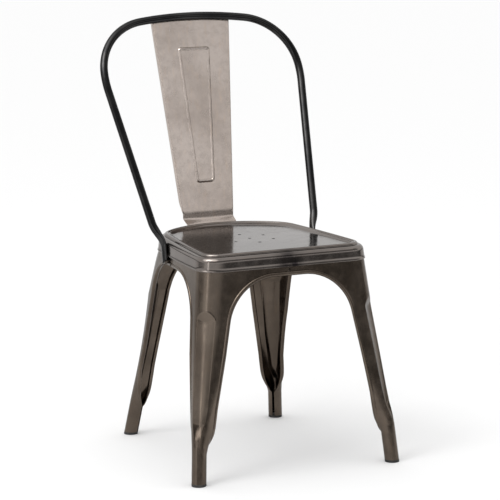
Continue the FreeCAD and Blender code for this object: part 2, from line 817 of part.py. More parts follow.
def brace_bar(name, way, level):
    """One flat bar of the crossed brace, as a padded sketch, under the dish."""
    body = doc.addObject("PartDesign::Body", name)
    outline = body.newObject("Sketcher::SketchObject", name + "_outline")
    outline.AttachmentSupport = [(body.Origin.OriginFeatures[3], "")]
    outline.MapMode = "FlatFace"
    ahead, behind = brace_ends(way)
    sheet.set("B%d" % brace_row, str((behind - ahead).Length))
    doc.recompute()
    half_length, half_width = 0.5 * size("brace_length"), 0.5 * size("brace_width")
    corners = [Vector(-half_length, -half_width, 0), Vector(half_length, -half_width, 0),
               Vector(half_length, half_width, 0), Vector(-half_length, half_width, 0)]
    for index in range(4):
        outline.addGeometry(Part.LineSegment(corners[index], corners[(index + 1) % 4]), False)
    for index in range(4):
        outline.addConstraint(Sketcher.Constraint("Coincident", index, 2, (index + 1) % 4, 1))
    for index, kind in enumerate(("Horizontal", "Vertical", "Horizontal", "Vertical")):
        outline.addConstraint(Sketcher.Constraint(kind, index))
    outline.addConstraint(Sketcher.Constraint("Symmetric", 0, 1, 1, 2, -1, 1))
    long_side = outline.addConstraint(Sketcher.Constraint("DistanceX", 0, 1, 0, 2, 2 * half_length))
    short_side = outline.addConstraint(Sketcher.Constraint("DistanceY", 1, 1, 1, 2, 2 * half_width))
    outline.setExpression("Constraints[%d]" % long_side, "sizes.brace_length")
    outline.setExpression("Constraints[%d]" % short_side, "sizes.brace_width")
    pad = body.newObject("PartDesign::Pad", name + "_gauge")
    pad.Profile = outline
    pad.setExpression("Length", "sizes.brace_gauge")
    doc.recompute()
    along = behind - ahead
    low = size("rim_height") - size("dish_depth") - size("seat_gauge")
    low -= (level + 1) * size("brace_gauge")
    turn = Rotation(UP, math.degrees(math.atan2(along.y, along.x)))
    body.Placement = Placement((ahead + behind) * 0.5 + UP * low, turn)
    return body


def face_point(x, y, z, proud):
    """A point on the leg sheets' outer face near (x, y) at height z, moved out by proud."""
    p = leg_plan(z, -proud)
    if abs(x) > abs(y):
        radius = (p["seam"] - p["side_centre"]).Length
        across = math.sqrt(radius ** 2 - (y - p["side_centre"].y) ** 2)
        return Vector(math.copysign(p["side_centre"].x + across, x), y, z)
    if y < 0:
        return Vector(x, p["front_middle"].y, z)
    reach = (p["rear_middle"] - p["bow_centre"]).Length
    return Vector(x, p["bow_centre"].y + math.sqrt(reach ** 2 - x ** 2), z)


def bead(a, b, radius, neighbours):
    """A straight weld bead from a to b, cut back to its neighbours' faces."""
    along = b - a
    rod = Part.makeCylinder(radius, along.Length, a, along)
    for piece in neighbours:
        rod = rod.cut(piece.Shape)
    return rod


def largest(shape):
    """The biggest solid of a shape that a cut has split."""
    return max(shape.Solids, key=lambda solid: solid.Volume)


def seam_weld(x, y, neighbours):
    """The upright bead that closes the seam between two legs above an arch."""
    radius = size("weld_radius")
    low = face_point(x, y, size("arch_height") + radius, 1.2 - radius)
    high = face_point(x, y, SKIRT_EDGE - radius, 1.2 - radius)
    return largest(bead(low, high, radius, neighbours))


def hoop_foot_weld(way, neighbours):
    """The bead under a flattened end of the hoop, against the leg sheet."""
    z = size("hoop_end_height")
    middle = lean_point(0, z, -size("hoop_foot_ahead"))
    half = 0.5 * size("weld_length")
    ends = [face_point(way * FAR, middle.y + step, z, 1.6) for step in (-half, half)]
    return largest(bead(ends[0], ends[1], 1.3 * size("weld_radius"), neighbours))


def splat_top_weld(neighbours):
    """The bead between the hoop's crown and the splat's face."""
    bend, up, back, length = splat_frame()
    spot = bend + up * (length - 0.7 * size("hoop_tube_radius")) - back * 1.2
    half = Vector(2.0 * size("weld_length"), 0, 0)
    return largest(bead(spot - half, spot + half, size("weld_radius"), neighbours))


def splat_bottom_weld(neighbours):
    """The bead under the splat's foot, against the rear of the skirt."""
    z = size("splat_tab_bottom") - 0.6
    half = 1.2 * size("weld_length")
    ends = [face_point(x, FAR, z, 2.4) for x in (-half, half)]
    return largest(bead(ends[0], ends[1], size("weld_radius"), neighbours))


def spot_welds():
    """The nuggets that join the skirt to the leg sheets inside it."""
    radius, z = size("spot_weld_radius"), size("spot_weld_height")
    pitch = size("spot_weld_pitch")
    spots = []
    for way in (-1, 1):
        for step in (1, 2, 3):
            spots.append((way * step * pitch * 1.1, -FAR))
        spots.append((way * pitch * 1.7, FAR))
        for y in (-3.4 * pitch, -1.8 * pitch, 1.4 * pitch):
            spots.append((way * FAR, y))
    discs = []
    for x, y in spots:
        foot = face_point(x, y, z, 0.0)
        above = face_point(x, y, z + 1.0, 0.0)
        head = face_point(x, y, z, size("joint_clearance"))
        aside = Vector(0, 1, 0) if abs(x) > abs(y) else Vector(1, 0, 0)
        beside = face_point(x + aside.x, y + aside.y, z, 0.0)
        normal = unit((above - foot).cross(beside - foot))
        if normal.dot(head - foot) < 0:
            normal = normal * -1.0
        depth = 0.95 * (head - foot).dot(normal)
        discs.append(Part.makeCylinder(radius, depth, foot + normal * 0.01, normal))
    return Part.makeCompound(discs)


def brace_welds(neighbours):
    """The beads that hold the brace's four ends in the corners of the legs."""
    beads = []
    top = size("rim_height") - size("dish_depth") - size("seat_gauge")
    for way, level in ((1, 0), (-1, 1)):
        for end in brace_ends(way):
            low = top - (level + 1) * size("brace_gauge")
            foot = end + UP * (low - 2.0)
            rod = Part.makeCylinder(size("weld_radius") + 1.5, size("brace_gauge") + 2.0, foot, UP)
            beads.append(largest(rod.cut([piece.Shape for piece in neighbours])))
    return Part.makeCompound(beads)


brace_row = len(SIZES) + 1
sheet.set("A%d" % brace_row, "brace_length")
sheet.set("B%d" % brace_row, "400")
sheet.setAlias("B%d" % brace_row, "brace_length")
doc.recompute()

moved = []
mirrored = []
for name, make in (("front_right_leg", lambda: right_leg(True)),
                   ("rear_right_leg", lambda: right_leg(False)),
                   ("front_right_foot", lambda: rubber_foot(True)),
                   ("rear_right_foot", lambda: rubber_foot(False))):
    right = feature(name, make())
    left = doc.addObject("Part::Mirroring", name.replace("right", "left"))
    left.Source = right
    left.Normal = (1, 0, 0)
    moved.append(right)
    mirrored.append(left)
doc.recompute()
right_front, right_rear = moved[0], moved[1]
left_front, left_rear = mirrored[0], mirrored[1]
legs = [right_front, right_rear, left_front, left_rear]
pan = feature("seat_pan", seat_pan())
hoop = feature("back_hoop", back_hoop())
splat = feature("back_splat", back_splat())
upper = brace_bar("brace_bar_upper", 1, 0)
lower = brace_bar("brace_bar_lower", -1, 1)
moved += [pan, hoop, splat, upper, lower]

moved.append(feature("front_arch_weld", seam_weld(0, -FAR, legs)))
moved.append(feature("rear_arch_weld", seam_weld(0, FAR, legs)))
moved.append(feature("left_arch_weld", seam_weld(-FAR, size("side_seam"), legs)))
moved.append(feature("right_arch_weld", seam_weld(FAR, size("side_seam"), legs)))
moved.append(feature("left_hoop_weld", hoop_foot_weld(-1, legs + [pan, hoop])))
moved.append(feature("right_hoop_weld", hoop_foot_weld(1, legs + [pan, hoop])))
moved.append(feature("splat_top_weld", splat_top_weld([hoop, splat])))
moved.append(feature("splat_bottom_weld", splat_bottom_weld([pan, splat])))
moved.append(feature("skirt_spot_welds", spot_welds()))
moved.append(feature("brace_welds", brace_welds(legs + [pan, upper, lower])))

# The origin goes under the middle of the whole chair, front to back.
whole = Part.makeCompound([piece.Shape for piece in moved + mirrored])
box = whole.optimalBoundingBox(False, False)
sheet.set("B%d" % (1 + list(SIZES).index("frame_shift")), str(-0.5 * (box.YMin + box.YMax)))
for piece in moved:
    piece.setExpression("Placement.Base.y", "sizes.frame_shift + %.6f" % piece.Placement.Base.y)
doc.recompute()

os.makedirs("parts", exist_ok=True)
for piece in moved + mirrored:
    piece.Label = piece.Name
    shape = piece.Shape
    faults = [state for state in piece.State if state in ("Invalid", "Error")]
    if faults or shape.isNull() or not shape.isValid() or not shape.Solids:
        raise SystemExit("%s is not a sound solid: %s" % (piece.Label, faults))
    shape.exportStep("parts/%s.step" % piece.Label)
    extent = shape.optimalBoundingBox(False, False)
    print(piece.Label, len(shape.Solids), "solids",
          [round(edge, 1) for edge in (extent.XMin, extent.XMax, extent.YMin, extent.YMax,
                                       extent.ZMin, extent.ZMax)])
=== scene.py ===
# %% [markdown]
# # A pressed steel bistro chair
#
# The chair is sheet steel bent and pressed into a seat and four legs, with a bent tube and a
# tapering splat for the back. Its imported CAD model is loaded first, and each surface below is
# drawn in the same frame, with the sizes of the CAD drawing.

# %% Load the frame
import math

import bmesh
import bpy
import numpy as np
from mathutils import Matrix, Vector


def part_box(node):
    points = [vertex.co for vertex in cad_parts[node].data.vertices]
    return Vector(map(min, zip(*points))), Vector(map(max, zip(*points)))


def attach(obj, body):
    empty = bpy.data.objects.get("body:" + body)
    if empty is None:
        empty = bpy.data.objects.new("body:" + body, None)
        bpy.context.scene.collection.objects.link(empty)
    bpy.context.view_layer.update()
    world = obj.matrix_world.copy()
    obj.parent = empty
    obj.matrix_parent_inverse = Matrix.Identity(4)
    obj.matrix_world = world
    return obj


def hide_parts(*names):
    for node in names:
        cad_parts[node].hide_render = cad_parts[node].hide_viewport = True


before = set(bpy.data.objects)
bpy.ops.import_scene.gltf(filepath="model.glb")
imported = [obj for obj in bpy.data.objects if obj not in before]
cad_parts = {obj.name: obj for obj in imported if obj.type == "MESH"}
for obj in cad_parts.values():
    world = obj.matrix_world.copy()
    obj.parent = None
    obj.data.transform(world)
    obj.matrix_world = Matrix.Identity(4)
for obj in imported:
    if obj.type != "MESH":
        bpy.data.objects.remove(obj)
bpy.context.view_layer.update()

# %% [markdown]
# ## The sizes that everything shares
#
# The legs, the skirt of the seat and the rim all follow one plan outline that is offset
# inwards or outwards. Sizes are in millimetres, as on a workshop drawing, and turn into
# metres when a mesh is made. The seat's own box says how far the drawing is moved to put
# the middle of the whole chair over the origin.

# %% Driving sizes
MM = 0.001
SEAT_FRONT_FACE = -196.8
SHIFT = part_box("seat_pan")[0][1] / MM - SEAT_FRONT_FACE

RIM_Z = 430.5
SKIRT_Z = 398.0
LEG_TOP_Z = 419.0
SPLAY = 0.1106
REAR_FLARE = 0.022
PINCH_X, PINCH_Y = 5.2, 4.4
SHEET = 1.5
GAP = 0.3

FRONT_HALF, FRONT_REACH = 178.0, 195.0
REAR_HALF, REAR_REACH = 137.5, 166.5
SIDE_BOW = 6.2
SEAM_Y = -12.0
SHIN_Z, KNUCKLE_Z = 74.0, 300.0
SHIN_RADIUS = 14.1
FRONT_RADII = (38.0, 40.0)
REAR_RADII = (41.0, 76.0)
BOW_RADII = (4000.0, 190.0)
print("drawing moved by", round(SHIFT, 2), "mm")

# %% [markdown]
# ## Turning arrays into meshes
#
# Every piece is a grid of points worked out as whole arrays. A helper numbers the quads of
# such a grid, joins several grids into one mesh and closes their seams by merging points
# that fall together. Shading stays smooth except across real creases.

# %% Grid helpers
def quads(rows, columns, wrap=False, start=0):
    """Corner numbers of a grid's faces: each is a point, its right, lower right, lower."""
    across = columns if wrap else columns - 1
    row = np.arange(rows - 1)[:, None]
    column = np.arange(across)[None, :]
    nxt = (column + 1) % columns
    corners = [row * columns + column, row * columns + nxt,
               (row + 1) * columns + nxt, (row + 1) * columns + column]
    return start + np.stack(corners, -1).reshape(-1, 4)


def to_mesh(name, grids, merge=0.02):
    """One mesh from grids given as (points, wrap, flip), in millimetres of the drawing."""
    points, faces, start = [], [], 0
    for grid, wrap, flip in grids:
        rows, columns = grid.shape[:2]
        face = quads(rows, columns, wrap, start)
        faces.append(face[:, ::-1] if flip else face)
        points.append(grid.reshape(-1, 3))
        start += rows * columns
    points = (np.concatenate(points) + [0.0, SHIFT, 0.0]) * MM
    mesh = bpy.data.meshes.new(name)
    mesh.from_pydata(points.tolist(), [], np.concatenate(faces).tolist())
    work = bmesh.new()
    work.from_mesh(mesh)
    bmesh.ops.remove_doubles(work, verts=work.verts, dist=merge * MM)
    bmesh.ops.dissolve_degenerate(work, edges=work.edges, dist=0.2 * merge * MM)
    work.to_mesh(mesh)
    work.free()
    return mesh


def face_outwards(mesh):
    """Turns the faces of a closed mesh so that they all look outwards."""
    work = bmesh.new()
    work.from_mesh(mesh)
    bmesh.ops.recalc_face_normals(work, faces=work.faces)
    work.to_mesh(mesh)
    work.free()


def put_in_scene(name, data):
    """A new object with its data, linked into the scene."""
    made = bpy.data.objects.new(name, data)
    bpy.context.scene.collection.objects.link(made)
    return made


def finish_piece(name, mesh, nodes, material, crease=40.0, closed=True):
    """Puts a mesh in the scene as a piece that rides on the chair and replaces CAD nodes."""
    if closed:
        face_outwards(mesh)
    mesh.polygons.foreach_set("use_smooth", [True] * len(mesh.polygons))
    mesh.set_sharp_from_angle(angle=math.radians(crease))
    mesh.materials.append(material)
    piece = put_in_scene(name, mesh)
    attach(piece, "root")
    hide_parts(*nodes)
    print(name, len(mesh.polygons), "faces")


def with_modifiers(mesh, *settings):
    """The mesh after modifiers, given as (kind, values), are applied to it in order."""
    holder = put_in_scene("holder", mesh)
    for kind, values in settings:
        modifier = holder.modifiers.new(kind.lower(), kind)
        for key, value in values.items():
            setattr(modifier, key, value)
    bpy.context.view_layer.update()
    graph = bpy.context.evaluated_depsgraph_get()
    result = bpy.data.meshes.new_from_object(holder.evaluated_get(graph))
    bpy.data.objects.remove(holder)
    return result


def blend_step(low, high, value):
    """0 up to low, 1 from high, and a smooth ramp between them."""
    t = np.clip((value - low) / (high - low), 0.0, 1.0)
    return t * t * (3.0 - 2.0 * t)


def lerp(a, b, share):
    """The number or array the given share of the way from a to b."""
    return a + (b - a) * share

# %% [markdown]
# ## Steel that has been handled
#
# The sheets are bare steel under a thin lacquer. Real ones are never one colour: rolling
# leaves faint streaks, heat and hands leave brown and grey clouds, and dust dulls the
# lacquer. Each finish mixes a dark and a light tone with clouds of two sizes, and the same
# clouds drive the gloss, so that a stain shows in the highlight as well as in the colour.

# %% Steel finishes
def node(tree, kind, **values):
    """A new node with its own settings and its input values filled in."""
    made = tree.nodes.new(kind)
    for key, value in values.items():
        if key in made.inputs:
            made.inputs[key].default_value = value
        else:
            setattr(made, key, value)
    return made


def cloud(tree, coordinates, scale, detail, stretch=(1.0, 1.0, 1.0), rough=0.55):
    """Noise over the object, scaled in metres and drawn out by stretch."""
    mapping = node(tree, "ShaderNodeMapping")
    mapping.inputs["Scale"].default_value = stretch
    noise = node(tree, "ShaderNodeTexNoise", Scale=scale, Detail=detail, Roughness=rough)
    tree.links.new(coordinates.outputs["Object"], mapping.inputs["Vector"])
    tree.links.new(mapping.outputs["Vector"], noise.inputs["Vector"])
    return noise.outputs["Fac"]


def ranged(tree, value, low, high, to_low, to_high):
    """The value moved smoothly from one range to another."""
    made = node(tree, "ShaderNodeMapRange", interpolation_type="SMOOTHSTEP")
    made.inputs["From Min"].default_value = low
    made.inputs["From Max"].default_value = high
    made.inputs["To Min"].default_value = to_low
    made.inputs["To Max"].default_value = to_high
    tree.links.new(value, made.inputs["Value"])
    return made.outputs["Result"]


def combined(tree, operation, first, second):
    """One socket worked out from two others."""
    made = node(tree, "ShaderNodeMath", operation=operation)
    tree.links.new(first, made.inputs[0])
    tree.links.new(second, made.inputs[1])
    return made.outputs[0]


def compared(tree, operation, place, vector):
    """How a place or a direction compares with a fixed vector."""
    made = node(tree, "ShaderNodeVectorMath", operation=operation)
    tree.links.new(place, made.inputs[0])
    made.inputs[1].default_value = vector
    return made.outputs["Value"]


def fresh_tree(owner):
    """The empty node tree of a new material or world."""
    owner.use_nodes = True
    owner.node_tree.nodes.clear()
    return owner.node_tree


def ends_in(tree, kind, shader):
    """Joins a shader to a new output node."""
    tree.links.new(shader.outputs[0], node(tree, kind).inputs[0])


def tinted(tree, factor, first, second):
    """A mix of two colours, or of one socket and a colour, by the factor."""
    made = node(tree, "ShaderNodeMix", data_type="RGBA", clamp_factor=True)
    tree.links.new(factor, made.inputs[0])
    for socket, value in ((6, first), (7, second)):
        if isinstance(value, tuple):
            made.inputs[socket].default_value = (*value, 1.0)
        else:
            tree.links.new(value, made.inputs[socket])
    return made.outputs[2]


def steel(name, dark, light, gloss, streak=(1.0, 1.0, 0.12), clouds=9.0, bump=0.0001,
          coat=0.12, edge=0.7, stain=None):
    """Lacquered bare steel: clouds between two tones, streaks, specks and uneven gloss.

    gloss is the roughness where the lacquer is clean and where it is dull, and edge is how
    much of the light the lacquer keeps at a glancing angle. stain is a list of (point,
    radius, strength): dark heat marks round welds, in metres.
    """
    material = bpy.data.materials.new(name)
    tree = fresh_tree(material)
    place = node(tree, "ShaderNodeTexCoord")
    large = cloud(tree, place, clouds, 4.0)
    fine = cloud(tree, place, 60.0, 6.0, rough=0.7)
    drawn = cloud(tree, place, 160.0, 3.0, streak)
    specks = cloud(tree, place, 420.0, 2.0)

    tone = tinted(tree, ranged(tree, large, 0.36, 0.66, 0.0, 1.0), dark, light)
    middle = tuple(0.5 * (a + b) for a, b in zip(dark, light))
    tone = tinted(tree, ranged(tree, fine, 0.42, 0.7, 0.0, 0.3), tone, middle)
    brown = (light[0] * 1.12, light[1] * 0.98, light[2] * 0.82)
    tone = tinted(tree, ranged(tree, drawn, 0.5, 0.75, 0.0, 0.2), tone, brown)
    shadow = tuple(0.45 * channel for channel in dark)
    tone = tinted(tree, ranged(tree, specks, 0.68, 0.76, 0.0, 0.25), tone, shadow)
    for spot, radius, strength in stain or ():
        away = compared(tree, "DISTANCE", place.outputs["Object"], spot)
        near = ranged(tree, away, 0.25 * radius, radius, strength, 0.0)
        ragged = combined(tree, "MULTIPLY", near, ranged(tree, fine, 0.3, 0.6, 0.3, 1.0))
        tone = tinted(tree, ragged, tone, (0.02, 0.016, 0.018))

    shader = node(tree, "ShaderNodeBsdfPrincipled")
    shader.inputs["Metallic"].default_value = 1.0
    shader.inputs["Specular Tint"].default_value = (edge, edge, edge, 1.0)
    shader.inputs["Coat Weight"].default_value = coat
    shader.inputs["Coat Roughness"].default_value = 0.12
    tree.links.new(tone, shader.inputs["Base Color"])
    dull = ranged(tree, fine, 0.35, 0.7, gloss[0], gloss[1])
    tree.links.new(dull, shader.inputs["Roughness"])
    height = node(tree, "ShaderNodeMath", operation="MULTIPLY_ADD")
    tree.links.new(large, height.inputs[0])
    height.inputs[1].default_value = 6.0
    tree.links.new(drawn, height.inputs[2])
    relief = node(tree, "ShaderNodeBump", Strength=0.2, Distance=bump)
    tree.links.new(height.outputs[0], relief.inputs["Height"])
    tree.links.new(relief.outputs["Normal"], shader.inputs["Normal"])
    ends_in(tree, "ShaderNodeOutputMaterial", shader)
    return material


def metres(x, y, z):
    """A point of the drawing, in metres of the frame."""
    return (x * MM, (y + SHIFT) * MM, z * MM)


marks = [(metres(0, -197, 408), 0.04, 0.8), (metres(6, -196, 398), 0.02, 0.9)]
marks += [(metres(x, -197, 410), 0.0022, 1.0) for x in (-188, -144, -108, 51, 148)]
leg_steel = steel("leg_steel", (0.082, 0.064, 0.05), (0.138, 0.111, 0.089), (0.18, 0.27))
seat_steel = steel("seat_steel", (0.15, 0.131, 0.119), (0.2, 0.178, 0.163), (0.1, 0.19),
                   streak=(0.3, 1.0, 1.0), clouds=6.0, bump=0.00005, edge=0.75, stain=marks)
splat_steel = steel("splat_steel", (0.41, 0.35, 0.313), (0.52, 0.455, 0.413), (0.2, 0.28),
                    streak=(1.0, 1.0, 0.05), clouds=6.0, bump=0.00005)
hoop_steel = steel("hoop_steel", (0.018, 0.018, 0.019), (0.04, 0.039, 0.038), (0.12, 0.19),
                   clouds=20.0, edge=0.45, coat=0.2)
weld_steel = steel("weld_steel", (0.05, 0.042, 0.036), (0.16, 0.135, 0.115), (0.3, 0.5),
                   streak=(1.0, 1.0, 1.0), clouds=70.0, bump=0.0006)
print("steels", [m.name for m in bpy.data.materials if m.name.endswith("steel")])

# %% [markdown]
# ## Rubber
#
# The feet are moulded black rubber, dull and a little dusty. Dust is a paler tone in fine
# noise, and the mould's grain is a small bump.

# %% Rubber finish
def rubber(name):
    """Dull black rubber with dust and a fine grain."""
    material = bpy.data.materials.new(name)
    tree = fresh_tree(material)
    place = node(tree, "ShaderNodeTexCoord")
    dust = cloud(tree, place, 120.0, 5.0)
    grain = cloud(tree, place, 900.0, 2.0)
    tone = tinted(tree, ranged(tree, dust, 0.45, 0.75, 0.0, 1.0),
                  (0.012, 0.012, 0.012), (0.05, 0.048, 0.045))
    shader = node(tree, "ShaderNodeBsdfPrincipled")
    tree.links.new(tone, shader.inputs["Base Color"])
    tree.links.new(ranged(tree, dust, 0.3, 0.7, 0.55, 0.8), shader.inputs["Roughness"])
    relief = node(tree, "ShaderNodeBump", Strength=0.3, Distance=0.0003)
    tree.links.new(grain, relief.inputs["Height"])
    tree.links.new(relief.outputs["Normal"], shader.inputs["Normal"])
    ends_in(tree, "ShaderNodeOutputMaterial", shader)
    return material


foot_rubber = rubber("foot_rubber")

# %% [markdown]
# ## The plan outline
#
# Seen from above, the seat is straight in front, gently bowed at the sides and round at the
# rear, with a rounded corner between each two. Lower down, the legs follow the same line,
# moved outwards as they splay, with tighter corners and a flatter rear, and the rear legs
# bow a little inwards half way down. One function gives the corner centres for any height
# and inset, and everything else is built on it.

# %% Outline
def outline(z, inset):
    """Centres and radii of the right half of the outline at heights z, moved in by inset.

    The offset from the drawn line is splay times the height below the skirt's edge, less
    the inset. A corner's centre lies one radius inside the two lines that it joins.
    """
    z, inset = np.broadcast_arrays(np.asarray(z, float), np.asarray(inset, float))
    grow = SPLAY * (SKIRT_Z - z) - inset
    low = np.clip((z - SHIN_Z) / (KNUCKLE_Z - SHIN_Z), 0.0, 1.0)
    high = np.clip((z - KNUCKLE_Z) / (SKIRT_Z - KNUCKLE_Z), 0.0, 1.0)
    front_r = lerp(lerp(SHIN_RADIUS, FRONT_RADII[0], low), FRONT_RADII[1], high) - inset
    rear_r = lerp(lerp(SHIN_RADIUS, REAR_RADII[0], low), REAR_RADII[1], high) - inset
    bow = 1.0 / lerp(1.0 / BOW_RADII[0], 1.0 / BOW_RADII[1], high)
    flare = REAR_FLARE * np.maximum(0.0, SKIRT_Z - z)

    pinch = np.sin(np.pi * np.clip((SKIRT_Z - z) / (SKIRT_Z - SHIN_Z), 0.0, 1.0))
    back_x, back_y = REAR_HALF - PINCH_X * pinch, REAR_REACH - PINCH_Y * pinch
    run_x, run_y = back_x - FRONT_HALF, back_y + FRONT_REACH
    length = np.hypot(run_x, run_y)
    side_r = (length ** 2 / 4.0 + SIDE_BOW ** 2) / (2.0 * SIDE_BOW)
    side_x = (FRONT_HALF + back_x) / 2.0 - run_y / length * (side_r - SIDE_BOW)
    side_y = (back_y - FRONT_REACH) / 2.0 + run_x / length * (side_r - SIDE_BOW)
    side_r = side_r + grow

    front_y = -FRONT_REACH - grow
    fy = front_y + front_r
    fx = side_x + np.sqrt((side_r - front_r) ** 2 - (fy - side_y) ** 2)

    bow_y = back_y + flare - bow
    rear_out = bow + grow
    near, far = side_r - rear_r, rear_out - rear_r
    dx, dy = -side_x, bow_y - side_y
    span = np.hypot(dx, dy)
    along = (near ** 2 - far ** 2 + span ** 2) / (2.0 * span)
    across = np.sqrt(near ** 2 - along ** 2)
    ax, ay = dx / span, dy / span
    rx = side_x + ax * along - ay * across
    ry = side_y + ay * along + ax * across
    swap = side_y + ay * along - ax * across > ry
    rx = np.where(swap, side_x + ax * along + ay * across, rx)
    ry = np.where(swap, side_y + ay * along - ax * across, ry)
    return {"front_y": front_y, "fx": fx, "fy": fy, "fr": front_r, "rx": rx, "ry": ry,
            "rr": rear_r, "side_x": side_x, "side_y": side_y, "side_r": side_r,
            "bow_y": bow_y, "bow_r": rear_out}


def side_x_at(o, y):
    """Half width of the side arc at y: its circle solved for x."""
    return o["side_x"] + np.sqrt(o["side_r"] ** 2 - (y - o["side_y"]) ** 2)


def rear_y_at(o, x):
    """Reach of the rear bow at x: its circle solved for y."""
    return o["bow_y"] + np.sqrt(o["bow_r"] ** 2 - x ** 2)


def corner_angles(o, which):
    """Start and end angles of a corner arc, from its centre's bearing to its neighbours."""
    if which == "front":
        start = np.full_like(o["fx"], -0.5 * np.pi)
        end = np.arctan2(o["fy"] - o["side_y"], o["fx"] - o["side_x"])
        return start, end
    start = np.arctan2(o["ry"] - o["side_y"], o["rx"] - o["side_x"])
    end = np.arctan2(o["ry"] - o["bow_y"], o["rx"])
    return start, end


def half_outline(z, inset, counts=(14, 22, 40, 26, 20)):
    """Points round the right half, from the front's middle to the rear's, one row per z."""
    o = {key: np.asarray(value)[..., None] for key, value in outline(z, inset).items()}
    front_n, corner_n, side_n, rear_n, bow_n = counts
    t = np.linspace(0.0, 1.0, front_n, endpoint=False)
    x = [o["fx"] * t]
    y = [o["front_y"] + 0.0 * t * o["fx"]]
    a, b = corner_angles(o, "front")
    t = np.linspace(0.0, 1.0, corner_n, endpoint=False)
    turn = lerp(a, b, t)
    x.append(o["fx"] + o["fr"] * np.cos(turn))
    y.append(o["fy"] + o["fr"] * np.sin(turn))
    c, d = corner_angles(o, "rear")
    t = np.linspace(0.0, 1.0, side_n, endpoint=False)
    turn = lerp(b, c, t)
    x.append(o["side_x"] + o["side_r"] * np.cos(turn))
    y.append(o["side_y"] + o["side_r"] * np.sin(turn))
    t = np.linspace(0.0, 1.0, rear_n, endpoint=False)
    turn = lerp(c, d, t)
    x.append(o["rx"] + o["rr"] * np.cos(turn))
    y.append(o["ry"] + o["rr"] * np.sin(turn))
    t = np.linspace(0.0, 1.0, bow_n)
    turn = lerp(d, 0.5 * np.pi + 0.0 * d, t)
    x.append(o["bow_r"] * np.cos(turn))
    y.append(o["bow_y"] + o["bow_r"] * np.sin(turn))
    return np.concatenate(x, -1), np.concatenate(y, -1)


def full_outline(z, inset):
    """Points all round, the left half being the right half mirrored and run backwards."""
    x, y = half_outline(z, inset)
    x = np.concatenate([x, -x[..., -2:0:-1]], -1)
    y = np.concatenate([y, y[..., -2:0:-1]], -1)
    return x, y


rim_x, rim_y = full_outline(np.array([RIM_Z]), np.array([12.2]))
print("rim crest spans", np.ptp(rim_x).round(1), "by", np.ptp(rim_y).round(1), "mm")

# %% [markdown]
# ## The seat
#
# The pan is one pressing. Its section rises from the skirt's edge, rolls over a shoulder,
# dips into a groove, climbs a narrow crest and falls into a shallow dish. The section is
# carried round the plan outline: each point of it is an inset and a height. The underside
# is the same section moved in by the sheet's thickness, so the two close into one shell.

# %% Seat pan
REAR_LIFT = 2.4


def pan_section():
    """The upper section as (inset, height) rows, from the skirt's edge to the dish floor."""
    shoulder = np.radians(np.linspace(180.0, 88.0, 18))
    crest = np.radians(np.linspace(188.0, 38.0, 20))
    hem = np.radians(np.linspace(-80.0, -215.0, 9))
    edge = np.concatenate([
        np.stack([-1.5 + 1.3 * np.cos(hem), 399.3 + 1.3 * np.sin(hem)], 1),
        [[-1.8, 402.5], [-1.8, 406.0], [-1.8, 410.5], [-1.8, 414.5]]])
    rows = [edge,
            np.stack([7.2 + 9.0 * np.cos(shoulder), 416.3 + 9.0 * np.sin(shoulder)], 1),
            np.stack([12.2 + 4.5 * np.cos(crest), 426.0 + 4.5 * np.sin(crest)], 1)]
    t = np.linspace(0.12, 1.0, 12)
    fall = 1.0 - blend_step(0.0, 1.0, t)
    rows.append(np.stack([15.75 + 11.0 * t, 424.5 + 4.2 * fall], 1))
    return np.concatenate(rows)


def thinned(section, depth):
    """The section moved to the underside by depth, square to its own line."""
    along = np.gradient(section, axis=0)
    along /= np.linalg.norm(along, axis=1, keepdims=True)
    return section + depth * np.stack([along[:, 1], -along[:, 0]], 1)


def swept_rim(section):
    """The section carried round the outline, with the middle of the dish filled in."""
    inset, height = section[:, 0], section[:, 1]
    x, y = full_outline(np.maximum(height, SKIRT_Z), inset)
    z = np.repeat(height[:, None], x.shape[1], 1)
    lift = REAR_LIFT * blend_step(405.0, 426.0, z) * (y + FRONT_REACH) / 360.0
    rim = np.stack([x, y, z + lift], -1)
    centre = np.array([0.0, -18.0, height[-1] + 0.5 * REAR_LIFT])
    shares = np.array([0.86, 0.66, 0.42, 0.18, 0.0])[:, None, None]
    floor = centre + (rim[-1] - centre) * shares
    return np.concatenate([rim, floor])


section = pan_section()
upper = swept_rim(section)
lower = swept_rim(thinned(section, SHEET))
hem = np.stack([upper[0], lower[0]])
pan_mesh = to_mesh("seat_pan", [(upper, True, False), (lower, True, True), (hem, True, False)])

# %% [markdown]
# ### Drain holes
#
# Seven small holes let rain out of the dish. They are cut with a boolean, because the grid
# of the dish runs to its middle and has no rows round a hole.

# %% Drain holes
def drills(radius=3.4, ring=47.0, centre=-18.0):
    """Seven upright cylinders: one at the centre and six at 60 degree steps round it."""
    turn = np.radians(30.0 + 60.0 * np.arange(6))
    spots = np.concatenate([[[0.0, centre]],
                            np.stack([ring * np.cos(turn), centre + ring * np.sin(turn)], 1)])
    round_ = np.radians(np.arange(0.0, 360.0, 12.0))
    grids = []
    for x, y in spots:
        radii = np.array([0.0, radius, radius, 0.0])[:, None]
        heights = np.array([415.0, 415.0, 435.0, 435.0])[:, None]
        grids.append((np.stack([x + radii * np.cos(round_), y + radii * np.sin(round_),
                                heights + 0.0 * round_], -1), True, False))
    return to_mesh("drills", grids)


cutter = put_in_scene("drills", drills())
for target in (cutter.data, pan_mesh):
    face_outwards(target)
pan_mesh = with_modifiers(pan_mesh, ("BOOLEAN", {"object": cutter, "operation": "DIFFERENCE"}))
bpy.data.objects.remove(cutter)
finish_piece("pressed_seat", pan_mesh, ["seat_pan"], seat_steel,
             crease=50.0)

# %% [markdown]
# ## The legs
#
# Each leg is one sheet folded round a corner of the outline. Its two free edges are the
# arches between the legs, its corner carries a long pressed flute, and its foot is rolled
# into a tube. A row of the grid is one height: it starts at one arch's edge, runs round the
# corner and ends at the other arch's edge. Near the shin each row curls up into a ring.

